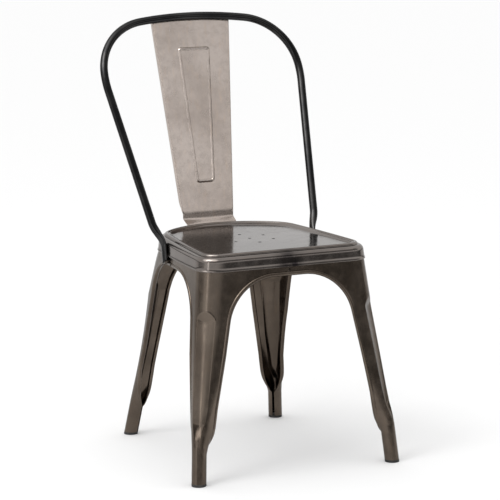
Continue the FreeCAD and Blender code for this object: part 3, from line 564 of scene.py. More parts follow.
# %% Arch edges
ARCH_Z = 381.0
KNEE_Z = 118.0
ARCHES = {
    "front": {"flat": 32.0, "radius": 99.0, "knee": 166.4, "ankle": 188.5},
    "rear": {"flat": 4.0, "radius": 84.0, "knee": 121.0, "ankle": 142.5},
    "side_front": {"flat": 32.0, "radius": 99.0, "knee": 165.9, "ankle": 185.5},
    "side_rear": {"flat": 32.0, "radius": 99.0, "knee": 188.2, "ankle": 196.5},
}
SIDE_MIDDLE = -18.0


def arch_edge(which, z):
    """Distance of an arch's edge from its middle at heights z below its crown.

    A round shoulder leaves the flat crown, a straight line leaves the shoulder at its
    tangent and reaches the knee, and a curve from there reaches the ankle.
    """
    arch = ARCHES[which]
    hub_x, hub_z, radius = arch["flat"], ARCH_Z - arch["radius"], arch["radius"]
    reach = math.hypot(arch["knee"] - hub_x, KNEE_Z - hub_z)
    bearing = math.atan2(KNEE_Z - hub_z, arch["knee"] - hub_x) + math.acos(radius / reach)
    touch_x = hub_x + radius * math.cos(bearing)
    touch_z = hub_z + radius * math.sin(bearing)
    slope = (arch["knee"] - touch_x) / (touch_z - KNEE_Z)
    round_part = hub_x + np.sqrt(np.maximum(0.0, radius ** 2 - (z - hub_z) ** 2))
    straight = touch_x + slope * (touch_z - z)
    drop = np.clip((KNEE_Z - z) / (KNEE_Z - SHIN_Z), 0.0, None)
    extra = arch["ankle"] - arch["knee"] - slope * (KNEE_Z - SHIN_Z)
    return np.where(z > touch_z, round_part, straight + extra * drop ** 2)


crown = ARCH_Z - ARCHES["front"]["radius"] * (1.0 - np.cos(np.radians(np.linspace(0.0, 62.0, 34))))
leg_z = np.concatenate([np.linspace(LEG_TOP_Z, ARCH_Z + 0.05, 10), [ARCH_Z - 0.02], crown[1:],
                        np.arange(crown[-1] - 1.6, 56.0, -1.6), np.linspace(55.0, 5.0, 14)])
print("leg rows", len(leg_z))

# %% Leg surface
FOOT = {"front": (206.5, -226.3), "rear": (164.0, 208.4)}
TUBE_RADIUS = 14.1
TUBE_TOP = 58.0
HALF_TURN = 2.3
FLUTE = {"top": 325.0, "bottom": 82.0, "facet": 19.0, "heel": 34.0, "top_depth": 6.6,
         "bottom_depth": 10.5, "top_half": 19.5, "bottom_half": 13.5}


def corner_frame(end, z):
    """A leg corner's centre, radius and arc angles at heights z.

    Above the shin they come from the outline. Below it the centre runs straight to the
    middle of the foot.
    """
    o = outline(z, 0.0 * z)
    a, b = corner_angles(o, end)
    key = end[0]
    shin = outline(np.array([SHIN_Z]), np.array([0.0]))
    share = np.clip(1.0 - z / SHIN_Z, 0.0, 1.0)
    foot_x, foot_y = FOOT[end]
    cx = np.where(z < SHIN_Z, lerp(shin[key + "x"][0], foot_x, share), o[key + "x"])
    cy = np.where(z < SHIN_Z, lerp(shin[key + "y"][0], foot_y, share), o[key + "y"])
    return o, cx, cy, o[key + "r"], a, b


def flute_push(w, out, z, radius, half):
    """How far the flute moves a point of the corner inwards, at w across and out along the
    corner's middle line.

    The pressed floor is the arc of a larger circle through both edges of the flute. Its
    top is a flat ramp, so the new face is the outermost of the floor and the ramp, but
    never outside the corner. Towards the heel the whole press fades out.
    """
    share = np.clip((z - FLUTE["bottom"]) / (FLUTE["top"] - FLUTE["bottom"]), 0.0, 1.0)
    depth = lerp(FLUTE["bottom_depth"], FLUTE["top_depth"], share)
    chord = np.sqrt(radius ** 2 - half ** 2)
    sagitta = np.maximum(depth - (radius - chord), 0.6)
    swage = (half ** 2 + sagitta ** 2) / (2.0 * sagitta)
    floor = chord - sagitta + swage - np.sqrt(np.maximum(swage ** 2 - w ** 2, 0.0))
    ramp = (FLUTE["top"] - z) * depth / FLUTE["facet"]
    heel = blend_step(FLUTE["bottom"], FLUTE["bottom"] + FLUTE["heel"], z)
    pressed = soft_min(out, soft_max(floor, radius - ramp, 0.5), 0.4)
    live = (np.abs(w) <= half + 0.01) & (ramp > 0.0)
    return np.where(live, np.minimum(pressed - out, 0.0) * heel, 0.0)


def soft_max(a, b, width):
    """The larger of two values, rounded over a width where they cross."""
    return 0.5 * (a + b + np.sqrt((a - b) ** 2 + width ** 2))


def soft_min(a, b, width):
    """The smaller of two values, rounded over a width where they cross."""
    return -soft_max(-a, -b, width)


def curl_angle(z):
    """How far a flange has turned inwards at heights z, up to half of the closed tube."""
    slow = np.clip((240.0 - z) / 130.0, 0.0, 1.4)
    fast = np.clip((110.0 - z) / (110.0 - TUBE_TOP), 0.0, 1.0)
    return np.minimum(0.72 * slow + 1.3 * fast ** 2, HALF_TURN)


def curled(x, y, tx, ty, way, inward, z):
    """Flange points bent inwards on an arc, given their flat places in the flange.

    A point at distance s from the tangent point goes to sin(k s)/k along the flange and
    (1 - cos(k s))/k inwards, where k is the turning angle over the flange's length. The
    flat length grows to what closes the tube.
    """
    flat = (x - tx) * way[0] + (y - ty) * way[1]
    length = flat[:, -1:] if abs(flat[0, -1]) > abs(flat[0, 0]) else flat[:, :1]
    angle = curl_angle(z)
    closing = HALF_TURN * TUBE_RADIUS
    at_140 = np.interp(140.0, z[::-1, 0], length[::-1, 0])
    wanted = np.where(z > 140.0, length,
                      lerp(at_140, closing, np.clip((140.0 - z) / (140.0 - TUBE_TOP), 0, 1)))
    stretch = wanted / length
    stretch = stretch * np.where(z > 140.0, 1.0 + angle ** 2 / 6.0,
                                 lerp(1.0 + angle ** 2 / 6.0, 1.0,
                                      np.clip((140.0 - z) / 60.0, 0, 1)))
    s = flat * stretch
    bend = np.maximum(angle, 1e-4) / (length * stretch)
    along = np.sin(bend * s) / bend - flat
    across = (1.0 - np.cos(bend * s)) / bend
    return x + along * way[0] + across * inward[0], y + along * way[1] + across * inward[1]


def leg_surface(end, columns=(26, 9, 40, 9, 26)):
    """The outer face of a right leg, rows by height and columns from arch to arch."""
    z = leg_z[:, None]
    o, cx, cy, radius, a, b = corner_frame(end, z)
    first_n, rim_n, flute_n, rim2_n, last_n = columns
    above = z > ARCH_Z
    first, last = (a, b) if end == "front" else (b, a)
    middle = 0.5 * (first + last)
    share = (z - FLUTE["bottom"]) / (FLUTE["top"] - FLUTE["bottom"])
    half = lerp(FLUTE["bottom_half"], FLUTE["top_half"], np.clip(share, 0.0, 1.0))
    half_arc = np.abs(last - first) / 2.0
    narrow = np.sqrt(np.clip((z - FLUTE["bottom"]) / FLUTE["heel"], 0.12, 1.0))
    half = np.minimum(half, radius * np.sin(0.94 * half_arc)) * narrow
    edge = np.arcsin(half / radius) * np.sign(last - first)
    parts = [lerp(first, middle - edge, np.linspace(0.0, 1.0, rim_n, endpoint=False)),
             lerp(middle - edge, middle + edge, np.linspace(0.0, 1.0, flute_n, endpoint=False)),
             lerp(middle + edge, last, np.linspace(0.0, 1.0, rim2_n, endpoint=False))]
    turn = np.concatenate(parts, 1)
    xc, yc = cx + radius * np.cos(turn), cy + radius * np.sin(turn)
    bx, by = np.cos(middle), np.sin(middle)
    w = -(xc - cx) * by + (yc - cy) * bx
    push = flute_push(w, (xc - cx) * bx + (yc - cy) * by, z, radius, half)
    xc, yc = xc + push * bx, yc + push * by

    tx, ty = cx + radius * np.cos(first), cy + radius * np.sin(first)
    start = np.where(above, 0.0, np.minimum(arch_edge(end, z), tx - 0.5))
    x = lerp(start, tx, np.linspace(0.0, 1.0, first_n, endpoint=False))
    y = ty + 0.0 * x if end == "front" else rear_y_at(o, x) + ty - rear_y_at(o, tx)
    inward = (np.cos(first + np.pi), np.sin(first + np.pi))
    side_way = np.sign(first - last)
    way = (-np.sin(first) * side_way, np.cos(first) * side_way)
    x1, y1 = curled(x, y, tx, ty, way, inward, z)

    tx, ty = cx + radius * np.cos(last), cy + radius * np.sin(last)
    sign = -1.0 if end == "front" else 1.0
    stop = np.where(above, SEAM_Y, SIDE_MIDDLE + sign * arch_edge("side_" + end, z))
    stop = np.maximum(stop, ty + 0.5) if end == "front" else np.minimum(stop, ty - 0.5)
    ys = lerp(ty, stop, np.linspace(0.0, 1.0, last_n))
    xs = side_x_at(o, ys) + tx - side_x_at(o, ty)
    inward = (np.cos(last + np.pi), np.sin(last + np.pi))
    way = (np.sin(last) * side_way, -np.cos(last) * side_way)
    x2, y2 = curled(xs, ys, tx, ty, way, inward, z)
    x, y = np.concatenate([x1, xc, x2], 1), np.concatenate([y1, yc, y2], 1)
    return np.stack([x, y, z + 0.0 * x], -1)


def mirrored(grid):
    """The same grid on the chair's left."""
    return grid * np.array([-1.0, 1.0, 1.0])

# %% [markdown]
# ### Rolled edges
#
# The arches' edges are rolled into a bead, which stiffens the sheet and takes away the
# sharp edge. The bead is a tube along the edge's own line. It sits half inside the sheet,
# so it shows as a narrow ridge outside and a fuller one inside, and it fades into the seam
# of the shin.

# %% Rolled beads
def unit(v):
    """Vectors of length one."""
    return v / np.maximum(np.linalg.norm(v, axis=-1, keepdims=True), 1e-9)


def bead_along(edge, normal, radius, sunk, sides=14, sign=1.0):
    """A tube beside an edge line: its centre is one radius from the edge, square to both
    the edge and the sheet's normal, and sunk below the sheet's face."""
    along = unit(np.gradient(edge, axis=0))
    away = unit(np.cross(along, normal)) * sign
    r = radius[:, None]
    centre = edge + away * r - normal * (sunk[:, None])
    turn = np.linspace(0.0, 2.0 * np.pi, sides, endpoint=False)[None, :, None]
    ring = centre[:, None] + r[:, None] * (np.cos(turn) * away[:, None]
                                           + np.sin(turn) * normal[:, None])
    return np.concatenate([centre[:1, None].repeat(sides, 1), ring,
                           centre[-1:, None].repeat(sides, 1)])


def leg_beads(end, surface):
    """The two beads of a right leg, along the first and last columns below the crown."""
    crown_row = int(np.argmax(leg_z < ARCH_Z))
    stop = int(np.argmax(leg_z < 60.0))
    rows = slice(crown_row, stop)
    z = leg_z[rows]
    grids = []
    for column, inner in ((0, 1), (-1, -2)):
        edge = surface[rows, column]
        start = edge[0].copy()
        if column == 0:
            start[0] = 0.0
        else:
            start[1] = SEAM_Y
            start[0] = side_x_at(outline(np.array([z[0]]), np.array([0.0])), SEAM_Y)[0]
        lead = lerp(start, edge[0], np.linspace(0.0, 1.0, 8, endpoint=False)[:, None])
        path = np.concatenate([lead, edge])
        across = unit(surface[rows, inner] - edge)
        down = np.array([0.0, 0.0, -1.0])
        square = np.cross(across, down + 0.0 * across)
        square = np.concatenate([square[:1].repeat(8, 0), square])
        square[:, 2] += SPLAY
        square = unit(square)
        outwards = unit(np.array([path[:, 0].mean(), path[:, 1].mean(), 0.0]))
        if (square[len(square) // 2] @ outwards) < 0:
            square = -square
        height = path[:, 2]
        radius = lerp(1.0, 4.1, blend_step(55.0, 100.0, height))
        sunk = lerp(0.7, 2.1, blend_step(55.0, 100.0, height))
        along = unit(np.gradient(path, axis=0))
        trial = unit(np.cross(along, square))
        target = np.concatenate([np.tile([0.0, 0.0, 1.0], (8, 1)), across])
        sign = 1.0 if (trial * target).sum() > 0 else -1.0
        grids.append(bead_along(path, square, radius, sunk, sign=sign))
    return grids


def make_leg(side, end):
    """One leg: its sheet with thickness, and its two rolled beads, as one mesh."""
    surface = leg_surface(end)
    beads = leg_beads(end, surface)
    if side == "left":
        surface, beads = mirrored(surface), [mirrored(bead) for bead in beads]
    middle = surface[len(surface) // 2]
    step_u = middle[46] - middle[44]
    step_v = surface[len(surface) // 2 + 1, 45] - middle[45]
    normal = np.cross(step_u, -step_v)
    outwards = np.array([middle[45][0], middle[45][1], 0.0])
    flip = normal @ outwards > 0
    sheet = to_mesh("sheet", [(surface, False, bool(flip))])
    sheet = with_modifiers(sheet, ("SOLIDIFY", {"thickness": SHEET * MM, "offset": -1.0}))
    tube = to_mesh("beads", [(bead, True, False) for bead in beads])
    work = bmesh.new()
    work.from_mesh(tube)
    bmesh.ops.recalc_face_normals(work, faces=work.faces)
    work.from_mesh(sheet)
    joined = bpy.data.meshes.new("%s_%s_leg_sheet" % (end, side))
    work.to_mesh(joined)
    work.free()
    finish_piece("%s_%s_folded_leg" % (end, side), joined, ["%s_%s_leg" % (end, side)],
                 leg_steel, crease=38.0, closed=False)


for side in ("left", "right"):
    for end in ("front", "rear"):
        make_leg(side, end)

# %% [markdown]
# ## The rubber feet
#
# A foot is a turned shape: a lip under the tube's end and a plug inside it. Its profile is
# carried round the tube's axis, and the rings stay level so that the sole is flat.

# %% Feet
def foot_grid(end, way):
    """Level rings round the leaning axis, from the sole's middle over the lip to the plug."""
    radius = np.array([0.0, 8.0, 13.2, 14.0, 14.25, 14.25, 14.0, 13.2, 11.9, 11.9, 0.0])
    height = np.array([0.0, 0.0, 0.0, 0.3, 1.0, 4.2, 4.8, 4.99, 4.99, 11.9, 11.9])
    turn = np.linspace(0.0, 2.0 * np.pi, 40, endpoint=False)
    _, cx, cy, _, _, _ = corner_frame(end, height)
    x = cx[:, None] + radius[:, None] * np.cos(turn)
    y = cy[:, None] + radius[:, None] * np.sin(turn)
    return np.stack([way * x, y, height[:, None] + 0.0 * x], -1)


for side, way in (("left", -1.0), ("right", 1.0)):
    for end in ("front", "rear"):
        mesh = to_mesh("rubber_foot", [(foot_grid(end, way), True, False)])
        finish_piece("%s_%s_rubber_foot" % (end, side), mesh, ["%s_%s_foot" % (end, side)],
                     foot_rubber, crease=60.0)

# %% [markdown]
# ## The bent tube
#
# The back's frame is one round tube. Its centre line is three arcs and a straight run in a
# plane that leans back. At each end the tube bends in towards the skirt and is pressed
# flat, so its section changes from a circle to an oval. The line comes first, then the
# oval is carried along it.

# %% Hoop
TUBE_R = 7.75
TOP_Z = 850.0
WELD_Z = 388.0
LEAN = math.radians(27.1)
BASE = np.array([0.0, 70.5, 491.0])
RISE = np.array([0.0, math.sin(LEAN), math.cos(LEAN)])
BEHIND = np.array([0.0, math.cos(LEAN), -math.sin(LEAN)])


def leaning(u, v):
    """Points of the hoop's plane: u across, v up its slope from the base height."""
    return np.array([1.0, 0.0, 0.0]) * u[..., None] + BASE + RISE * v[..., None]


def slope_v(z):
    """How far up the slope the height z lies."""
    return (z - BASE[2]) / math.cos(LEAN)


def hoop_line():
    """The right half of the centre line from the crown to the end of the straight run.

    Arcs turn by radius and angle from a level start: crown, shoulder, then side, and the
    straight run follows the last heading down to the height of the bend.
    """
    here, heading = np.array([0.0, slope_v(TOP_Z - TUBE_R)]), 0.0
    parts = []
    for radius, turn, count in ((830.0, 7.96, 22), (115.0, 78.65, 48), (204.0, None, 12)):
        turn = math.radians(97.32) - heading if turn is None else math.radians(turn)
        hub = here - radius * np.array([math.sin(heading), math.cos(heading)])
        angle = heading + turn * np.linspace(0.0, 1.0, count, endpoint=False)
        parts.append(hub + radius * np.stack([np.sin(angle), np.cos(angle)], 1))
        heading += turn
        here = hub + radius * np.array([math.sin(heading), math.cos(heading)])
    end_v = slope_v(459.0)
    run = (here[1] - end_v) / math.sin(heading)
    way = np.array([math.cos(heading), -math.sin(heading)])
    parts.append(here + way * run * np.linspace(0.0, 1.0, 40)[:, None])
    flat = np.concatenate(parts)
    return leaning(flat[:, 0], flat[:, 1])


def hoop_y(z):
    """The middle of the flattened end at height z, which lies 3 mm in front of the plane."""
    return BASE[1] + (z - BASE[2]) * math.tan(LEAN) - 3.0 / math.cos(LEAN)


def hoop_foot(line, half_depth):
    """The bend and the flattened end: a smooth cubic to the skirt, then a straight run."""
    ends = []
    for z in (414.0, WELD_Z):
        o = outline(np.array([max(z, SKIRT_Z)]), np.array([-GAP - SHEET]))
        y = hoop_y(z)
        ends.append(np.array([side_x_at(o, y)[0] + half_depth - GAP, y, z]))
    leaving, arriving = unit(line[-1] - line[-2]), unit(ends[1] - ends[0])
    length = np.linalg.norm(ends[0] - line[-1])
    t = np.linspace(0.0, 1.0, 30)[1:, None]
    curve = (line[-1] * (2 * t ** 3 - 3 * t ** 2 + 1)
             + leaving * length * (t ** 3 - 2 * t ** 2 + t)
             + ends[0] * (3 * t ** 2 - 2 * t ** 3)
             + arriving * length * (t ** 3 - t ** 2))
    return curve, lerp(ends[0], ends[1], np.linspace(0.0, 1.0, 14)[1:, None])


def hoop_grid():
    """The whole tube: an oval at each point of the line, flattened near both ends."""
    half_width, half_depth = 10.0, 4.4
    line = hoop_line()
    curve, end = hoop_foot(line, half_depth)
    path = np.concatenate([line, curve, end])
    press = np.concatenate([np.zeros(len(line)),
                            blend_step(0.2, 1.0, np.linspace(0.0, 1.0, len(curve))),
                            np.ones(len(end))])
    path = np.concatenate([mirrored(path[:0:-1]), path])
    press = np.concatenate([press[:0:-1], press])
    along = unit(np.gradient(path, axis=0))
    out = unit(np.cross(along, BEHIND))
    turn = np.linspace(0.0, 2.0 * np.pi, 32, endpoint=False)[None, :, None]
    wide = lerp(TUBE_R, half_width, press)[:, None, None]
    deep = lerp(TUBE_R, half_depth, press)[:, None, None]
    ring = (path[:, None] + np.cos(turn) * wide * BEHIND
            + np.sin(turn) * deep * out[:, None])
    cap = 0.6 * (ring[:1] - path[0]) + path[0] - 0.4 * along[0]
    tail = 0.6 * (ring[-1:] - path[-1]) + path[-1] + 0.4 * along[-1]
    tips = [path[:1, None].repeat(32, 1), path[-1:, None].repeat(32, 1)]
    return np.concatenate([tips[0] - 0.4 * along[0], cap, ring, tail,
                           tips[1] + 0.4 * along[-1]])


hoop_mesh = to_mesh("bent_tube", [(hoop_grid(), True, False)])
finish_piece("bent_back_tube", hoop_mesh, ["back_hoop"], hoop_steel, crease=60.0)

# %% [markdown]
# ## The splat
#
# The splat is a plate that narrows downwards. Its long edges are folded back, a ridge is
# pressed round a long panel in its middle, and its foot bends to lie against the skirt's rear.

# %% Splat
SPLAT = {"top_half": 84.6, "bend_half": 55.6, "bend_y": 178.9, "bend_z": 450.4,
         "flange": 8.0, "curl_top": 441.0, "curl_end": 425.0, "tab_half": 52.0,
         "panel_top": 62.3, "panel_bottom": 60.0, "panel_top_half": 35.2,
         "panel_bottom_half": 20.5, "corner": 8.0, "ridge": 6.0,
         "ridge_height": 2.3, "raised": 0.6}


def splat_frame():
    """Bend, direction up the plate, direction behind it, and its length."""
    bend = np.array([0.0, SPLAT["bend_y"], SPLAT["bend_z"]])
    top_z = TOP_Z - TUBE_R - 2.0
    axis = BASE + RISE * slope_v(TOP_Z - TUBE_R)
    gap = math.hypot(axis[1] - bend[1], axis[2] - bend[2])
    rise = math.atan2(axis[1] - bend[1], axis[2] - bend[2]) + math.asin((TUBE_R + GAP) / gap)
    up = np.array([0.0, math.sin(rise), math.cos(rise)])
    back = np.array([0.0, math.cos(rise), -math.sin(rise)])
    return bend, up, back, (top_z - bend[2]) / up[2]


def panel_relief(x, v, length):
    """Height of the pressed panel: a half-round ridge along a rounded, tapering frame.

    The distance into the frame is measured to its nearest side, and round a corner to the
    corner's arc. The ridge is a cosine hump of that distance, and the panel inside stays
    a little raised.
    """
    share = np.clip((v - SPLAT["panel_bottom"])
                    / (length - SPLAT["panel_top"] - SPLAT["panel_bottom"]), 0.0, 1.0)
    half = lerp(SPLAT["panel_bottom_half"], SPLAT["panel_top_half"], share)
    side = half - np.abs(x)
    end = np.minimum(v - SPLAT["panel_bottom"], length - SPLAT["panel_top"] - v)
    rounding = SPLAT["corner"]
    near = np.hypot(np.maximum(rounding - side, 0.0), np.maximum(rounding - end, 0.0))
    inside = np.where(near > 0.0, rounding - near, np.minimum(side, end))
    t = np.clip(inside / SPLAT["ridge"], 0.0, 1.0)
    return (SPLAT["ridge_height"] * 0.5 * (1.0 - np.cos(2.0 * np.pi * t))
            + SPLAT["raised"] * blend_step(0.0, 1.0, t))


def splat_surface():
    """The splat's front face: plate rows from the top to the bend, then the curved foot."""
    bend, up, back, length = splat_frame()
    v = np.concatenate([np.linspace(length, length - 58.0, 16, endpoint=False),
                        np.linspace(length - 58.0, length - 76.0, 30, endpoint=False),
                        np.linspace(length - 76.0, 76.0, 90, endpoint=False),
                        np.linspace(76.0, 56.0, 30, endpoint=False),
                        np.linspace(56.0, 4.0, 22)])[:, None]
    half = lerp(SPLAT["bend_half"], SPLAT["top_half"], v / length)
    fold = 1.6
    s = np.linspace(-1.0, 1.0, 161)[None, :]
    x = s * (half - fold)
    depth = -panel_relief(x, v, length)
    plate = bend + up * v[..., None] + back * depth[..., None]
    plate = plate + np.array([1.0, 0.0, 0.0]) * x[..., None]
    deep = SPLAT["flange"] * blend_step(0.0, 26.0, v)
    turn = np.radians(np.linspace(15.0, 90.0, 6))[None, :]
    arc_x = half - fold + fold * np.sin(turn)
    arc_d = fold - fold * np.cos(turn)
    run = np.linspace(0.0, 1.0, 5)[1:][None, :]
    wall_x = half + 0.0 * run
    wall_d = fold + (np.maximum(deep, fold + 0.2) - fold) * run
    fold_x = np.concatenate([arc_x, wall_x], 1)
    fold_d = np.concatenate([arc_d + 0.0 * half, wall_d], 1)
    right = bend + up * v[..., None] + back * fold_d[..., None]
    right = right + np.array([1.0, 0.0, 0.0]) * fold_x[..., None]
    left = right[:, ::-1] * np.array([-1.0, 1.0, 1.0])
    upper = np.concatenate([left, plate, right], 1)

    z = np.concatenate([np.linspace(448.5, 441.0, 5), np.linspace(440.0, 424.0, 20),
                        np.linspace(422.0, 404.0, 10)])[:, None]
    t = np.clip((SPLAT["curl_top"] - z) / (SPLAT["curl_top"] - SPLAT["curl_end"]), 0.0, 1.0)
    o = outline(z, 0.0 * z - 2.0 * GAP - SHEET)
    s = np.linspace(-1.0, 1.0, upper.shape[1])[None, :]
    wide = lerp(SPLAT["bend_half"], SPLAT["tab_half"] + 2.0, t)
    x = s * wide
    y = lerp(SPLAT["bend_y"], rear_y_at(o, x), t * t * (3.0 - 2.0 * t))
    lower = np.stack([x, y, z + 0.0 * x], -1)
    return np.concatenate([upper, lower])


surface = splat_surface()
splat_mesh = to_mesh("splat", [(surface, False, False)])
splat_mesh = with_modifiers(splat_mesh, ("SOLIDIFY", {"thickness": 1.3 * MM, "offset": -1.0}))
finish_piece("pressed_splat", splat_mesh, ["back_splat"], splat_steel,
             crease=48.0)

# %% [markdown]
# ## Welds
#
# A weld is a short bead with ripples where the metal froze. Each one is a tube along a
# short line whose radius swells and pinches, and it lies in the corner that it fills.

# %% Weld beads
def ripple_bead(points, radius, seed, sides=14, rows=40):
    """A bead along a polyline: its radius is rounded off at the ends and rippled between."""
    rng = np.random.default_rng(seed)
    points = np.asarray(points, float)
    t = np.linspace(0.0, 1.0, rows)
    knots = np.linspace(0.0, 1.0, len(points))
    line = np.stack([np.interp(t, knots, points[:, k]) for k in range(3)], 1)
    along = unit(np.gradient(line, axis=0))
    helper = np.array([0.0, 0.0, 1.0]) if abs(along[0, 2]) < 0.8 else np.array([0.0, 1.0, 0.0])
    side = unit(np.cross(along, helper))
    top = np.cross(side, along)
    length = np.linalg.norm(np.diff(line, axis=0), axis=1).sum()
    ends = np.sqrt(np.clip(1.0 - np.abs(2.0 * t - 1.0) ** 8, 0.0, 1.0))
    waves = 1.0 + 0.10 * np.sin(2.0 * np.pi * t * length / 2.2) + 0.06 * rng.standard_normal(rows)
    size = (radius * ends * waves)[:, None, None]
    turn = np.linspace(0.0, 2.0 * np.pi, sides, endpoint=False)[None, :, None]
    lumps = 1.0 + 0.08 * rng.standard_normal((rows, sides, 1))
    return line[:, None] + size * lumps * (np.cos(turn) * side[:, None]
                                           + np.sin(turn) * top[:, None])


def face_spot(x, y, z, proud):
    """A point on the legs' outer face, moved out by proud, front, rear or side."""
    o = outline(np.array([z]), np.array([-proud]))
    if x is None:
        return np.array([side_x_at(o, y)[0], y, z])
    if y == "front":
        return np.array([x, o["front_y"][0], z])
    return np.array([x, rear_y_at(o, x)[0], z])


WELD = 3.2
low, high = ARCH_Z + WELD, SKIRT_Z - WELD
seams = {
    "front_arch_weld": [face_spot(0.0, "front", z, 1.2 - WELD) for z in (low, high)],
    "rear_arch_weld": [face_spot(0.0, "rear", z, 1.2 - WELD) for z in (low, high)],
    "right_arch_weld": [face_spot(None, SEAM_Y, z, 1.2 - WELD) for z in (low, high)],
}
seams["left_arch_weld"] = [mirrored(spot) for spot in seams["right_arch_weld"]]
for seed, (name, ends) in enumerate(seams.items()):
    mesh = to_mesh(name, [(ripple_bead(ends, WELD, seed), True, False)])
    finish_piece(name + "_bead", mesh, [name], weld_steel)

# %% More welds
foot_ends = [face_spot(None, hoop_y(WELD_Z) + step, WELD_Z, 1.6) for step in (-7.0, 7.0)]
for seed, (side, mirror) in enumerate((("right", False), ("left", True))):
    ends = [mirrored(spot) for spot in foot_ends] if mirror else foot_ends
    mesh = to_mesh("hoop_weld", [(ripple_bead(ends, 4.0, 20 + seed), True, False)])
    finish_piece(side + "_hoop_foot_bead", mesh, [side + "_hoop_weld"], weld_steel)

bend, up, back, length = splat_frame()
middle = bend + up * (length - 0.7 * TUBE_R) - back * 1.2
across = np.array([28.0, 0.0, 0.0])
mesh = to_mesh("splat_top", [(ripple_bead([middle - across, middle + across], 2.6, 30), True,
                              False)])
finish_piece("splat_top_bead", mesh, ["splat_top_weld"], weld_steel)
ends = [face_spot(x, "rear", 403.4, 2.4) for x in (-17.0, 0.0, 17.0)]
mesh = to_mesh("splat_bottom", [(ripple_bead(ends, 2.8, 31), True, False)])
finish_piece("splat_bottom_bead", mesh, ["splat_bottom_weld"], weld_steel)

# %% [markdown]
# ## The brace
#
# Two flat bars cross under the dish and stiffen the frame. They stay as the CAD drew them
# and only take the legs' finish. The hidden nuggets between skirt and legs and the brace's
# welds also stay as drawn, and take the welds' finish.

# %% Carried-over nodes
for name, material in (("brace_bar_upper", leg_steel), ("brace_bar_lower", leg_steel),
                       ("skirt_spot_welds", weld_steel), ("brace_welds", weld_steel)):
    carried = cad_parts[name]
    for index in range(len(carried.material_slots)):
        carried.material_slots[index].material = material
    print(name, "takes", material.name)

# %% [markdown]
# ## Floor, light and camera
#
# The chair stands on a plain pale floor in soft studio light. Bare steel shows the room
# more than its own colour, so the room is drawn too: a white backdrop behind the chair, a
# bright ceiling, a pale strip on each side and a dark band in front at eye level. Two lamps on
# the left add a soft light from above and a narrow one beside the legs.

# %% Floor
def pale_floor():
    """A wide level sheet with an even, nearly white finish that ends in front of the chair."""
    half, front = 60.0, 1.0
    mesh = bpy.data.meshes.new("floor")
    mesh.from_pydata([(-half, -front, 0), (half, -front, 0), (half, half, 0),
                      (-half, half, 0)], [], [(0, 1, 2, 3)])
    floor = put_in_scene("floor", mesh)
    material = bpy.data.materials.new("floor_paint")
    tree = fresh_tree(material)
    diffuse = node(tree, "ShaderNodeBsdfDiffuse")
    diffuse.inputs["Color"].default_value = (0.93, 0.93, 0.93, 1.0)
    ends_in(tree, "ShaderNodeOutputMaterial", diffuse)
    mesh.materials.append(material)


pale_floor()

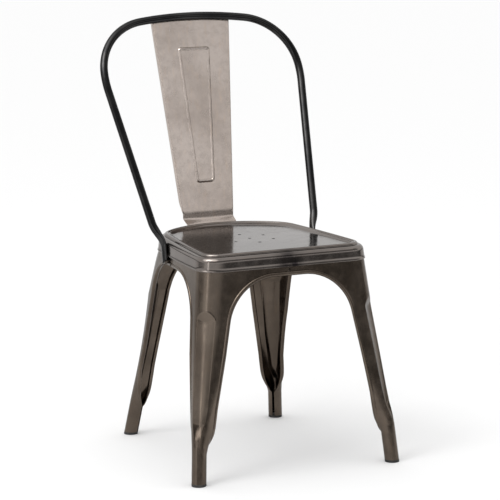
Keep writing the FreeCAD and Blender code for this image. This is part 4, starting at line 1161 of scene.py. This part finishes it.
# %% World
def studio_world():
    """A room whose reflection is bright above, dark at eye level and grey on the ground.

    The backdrop, the side panels and the soft box are brighter: each is a smooth step of how
    well a ray's direction agrees with its own. A band part of the way up in front is dim. Only
    glossy rays see this room. All others see an even white.
    """
    world = bpy.data.worlds.new("studio")
    bpy.context.scene.world = world
    tree = fresh_tree(world)
    way = node(tree, "ShaderNodeTexCoord")
    split = node(tree, "ShaderNodeSeparateXYZ")
    tree.links.new(way.outputs["Generated"], split.inputs[0])
    level = ranged(tree, split.outputs["Z"], 0.02, 0.13, 0.1, 1.05)
    below = ranged(tree, split.outputs["Z"], -0.2, -0.03, 0.4, 0.1)
    level = combined(tree, "MAXIMUM", level, below)
    parts = [((0.42, 0.90, 0.10), 0.70, 0.90, 0.95), ((-0.98, -0.19, 0.03), 0.975, 0.998, 1.3),
             ((-0.53, -0.15, 0.83), 0.76, 0.94, 3.6), ((0.95, -0.10, 0.2), 0.95, 0.99, 1.2)]
    for direction, low, high, strength in parts:
        agree = compared(tree, "DOT_PRODUCT", way.outputs["Generated"], direction)
        part = ranged(tree, agree, low, high, 0.0, strength)
        level = combined(tree, "MAXIMUM", level, part)
    keep = ranged(tree, split.outputs["Z"], 0.27, 0.38, 1.0, 0.25)
    for axis, low, high in (("Z", 0.62, 0.78), ("Y", -0.35, -0.1)):
        spared = ranged(tree, split.outputs[axis], low, high, 0.0, 1.0)
        keep = combined(tree, "MAXIMUM", keep, spared)
    level = combined(tree, "MULTIPLY", level, keep)
    rays = node(tree, "ShaderNodeLightPath")
    strength = node(tree, "ShaderNodeMix", data_type="FLOAT")
    tree.links.new(rays.outputs["Is Glossy Ray"], strength.inputs[0])
    strength.inputs[2].default_value = 1.05
    tree.links.new(level, strength.inputs[3])
    background = node(tree, "ShaderNodeBackground")
    background.inputs["Color"].default_value = (1.0, 1.0, 1.0, 1.0)
    tree.links.new(strength.outputs[0], background.inputs["Strength"])
    ends_in(tree, "ShaderNodeOutputWorld", background)


studio_world()

# %% Lamps
def soft_box(name, place, aim, size, power):
    """A square lamp at a place, turned to face a point."""
    lamp = bpy.data.lights.new(name, "AREA")
    lamp.shape = "RECTANGLE"
    lamp.size, lamp.size_y = size
    lamp.energy = power
    holder = put_in_scene(name, lamp)
    holder.location = place
    holder.rotation_euler = (Vector(aim) - Vector(place)).to_track_quat("-Z", "Y").to_euler()


soft_box("left_box", (-1.6, -0.45, 2.6), (0.0, 0.0, 0.4), (1.1, 1.1), 16.0)
soft_box("side_strip", (-2.6, -1.3, 0.7), (0.0, 0.0, 0.4), (0.35, 1.6), 3.0)

# %% Camera
def place_camera():
    """A long lens at the photograph's angle: the view's own axes make the matrix."""
    azimuth, elevation, roll = -0.440524, 0.173712, -0.005720
    distance, focal_px = 5033.5, 2547.96
    target = np.array([14.44, 10.90, 396.63])
    back = np.array([math.sin(azimuth) * math.cos(elevation),
                     -math.cos(azimuth) * math.cos(elevation), math.sin(elevation)])
    place = target + back * distance
    right = unit(np.cross(-back, [0.0, 0.0, 1.0]))
    up = np.cross(right, -back)
    turned = right * math.cos(roll) + up * math.sin(roll)
    raised = -right * math.sin(roll) + up * math.cos(roll)
    lens = bpy.data.cameras.new("camera")
    lens.sensor_width = 36.0
    lens.lens = focal_px * 36.0 / 500.0
    lens.clip_end = 50.0
    camera = put_in_scene("camera", lens)
    matrix = np.eye(4)
    matrix[:3, 0], matrix[:3, 1], matrix[:3, 2] = turned, raised, back
    matrix[:3, 3] = (place + [0.0, SHIFT, 0.0]) * MM
    camera.matrix_world = Matrix(matrix.tolist())
    bpy.context.scene.camera = camera
    print("camera at", matrix[:3, 3].round(3))


place_camera()
bpy.context.scene.view_settings.view_transform = "Standard"
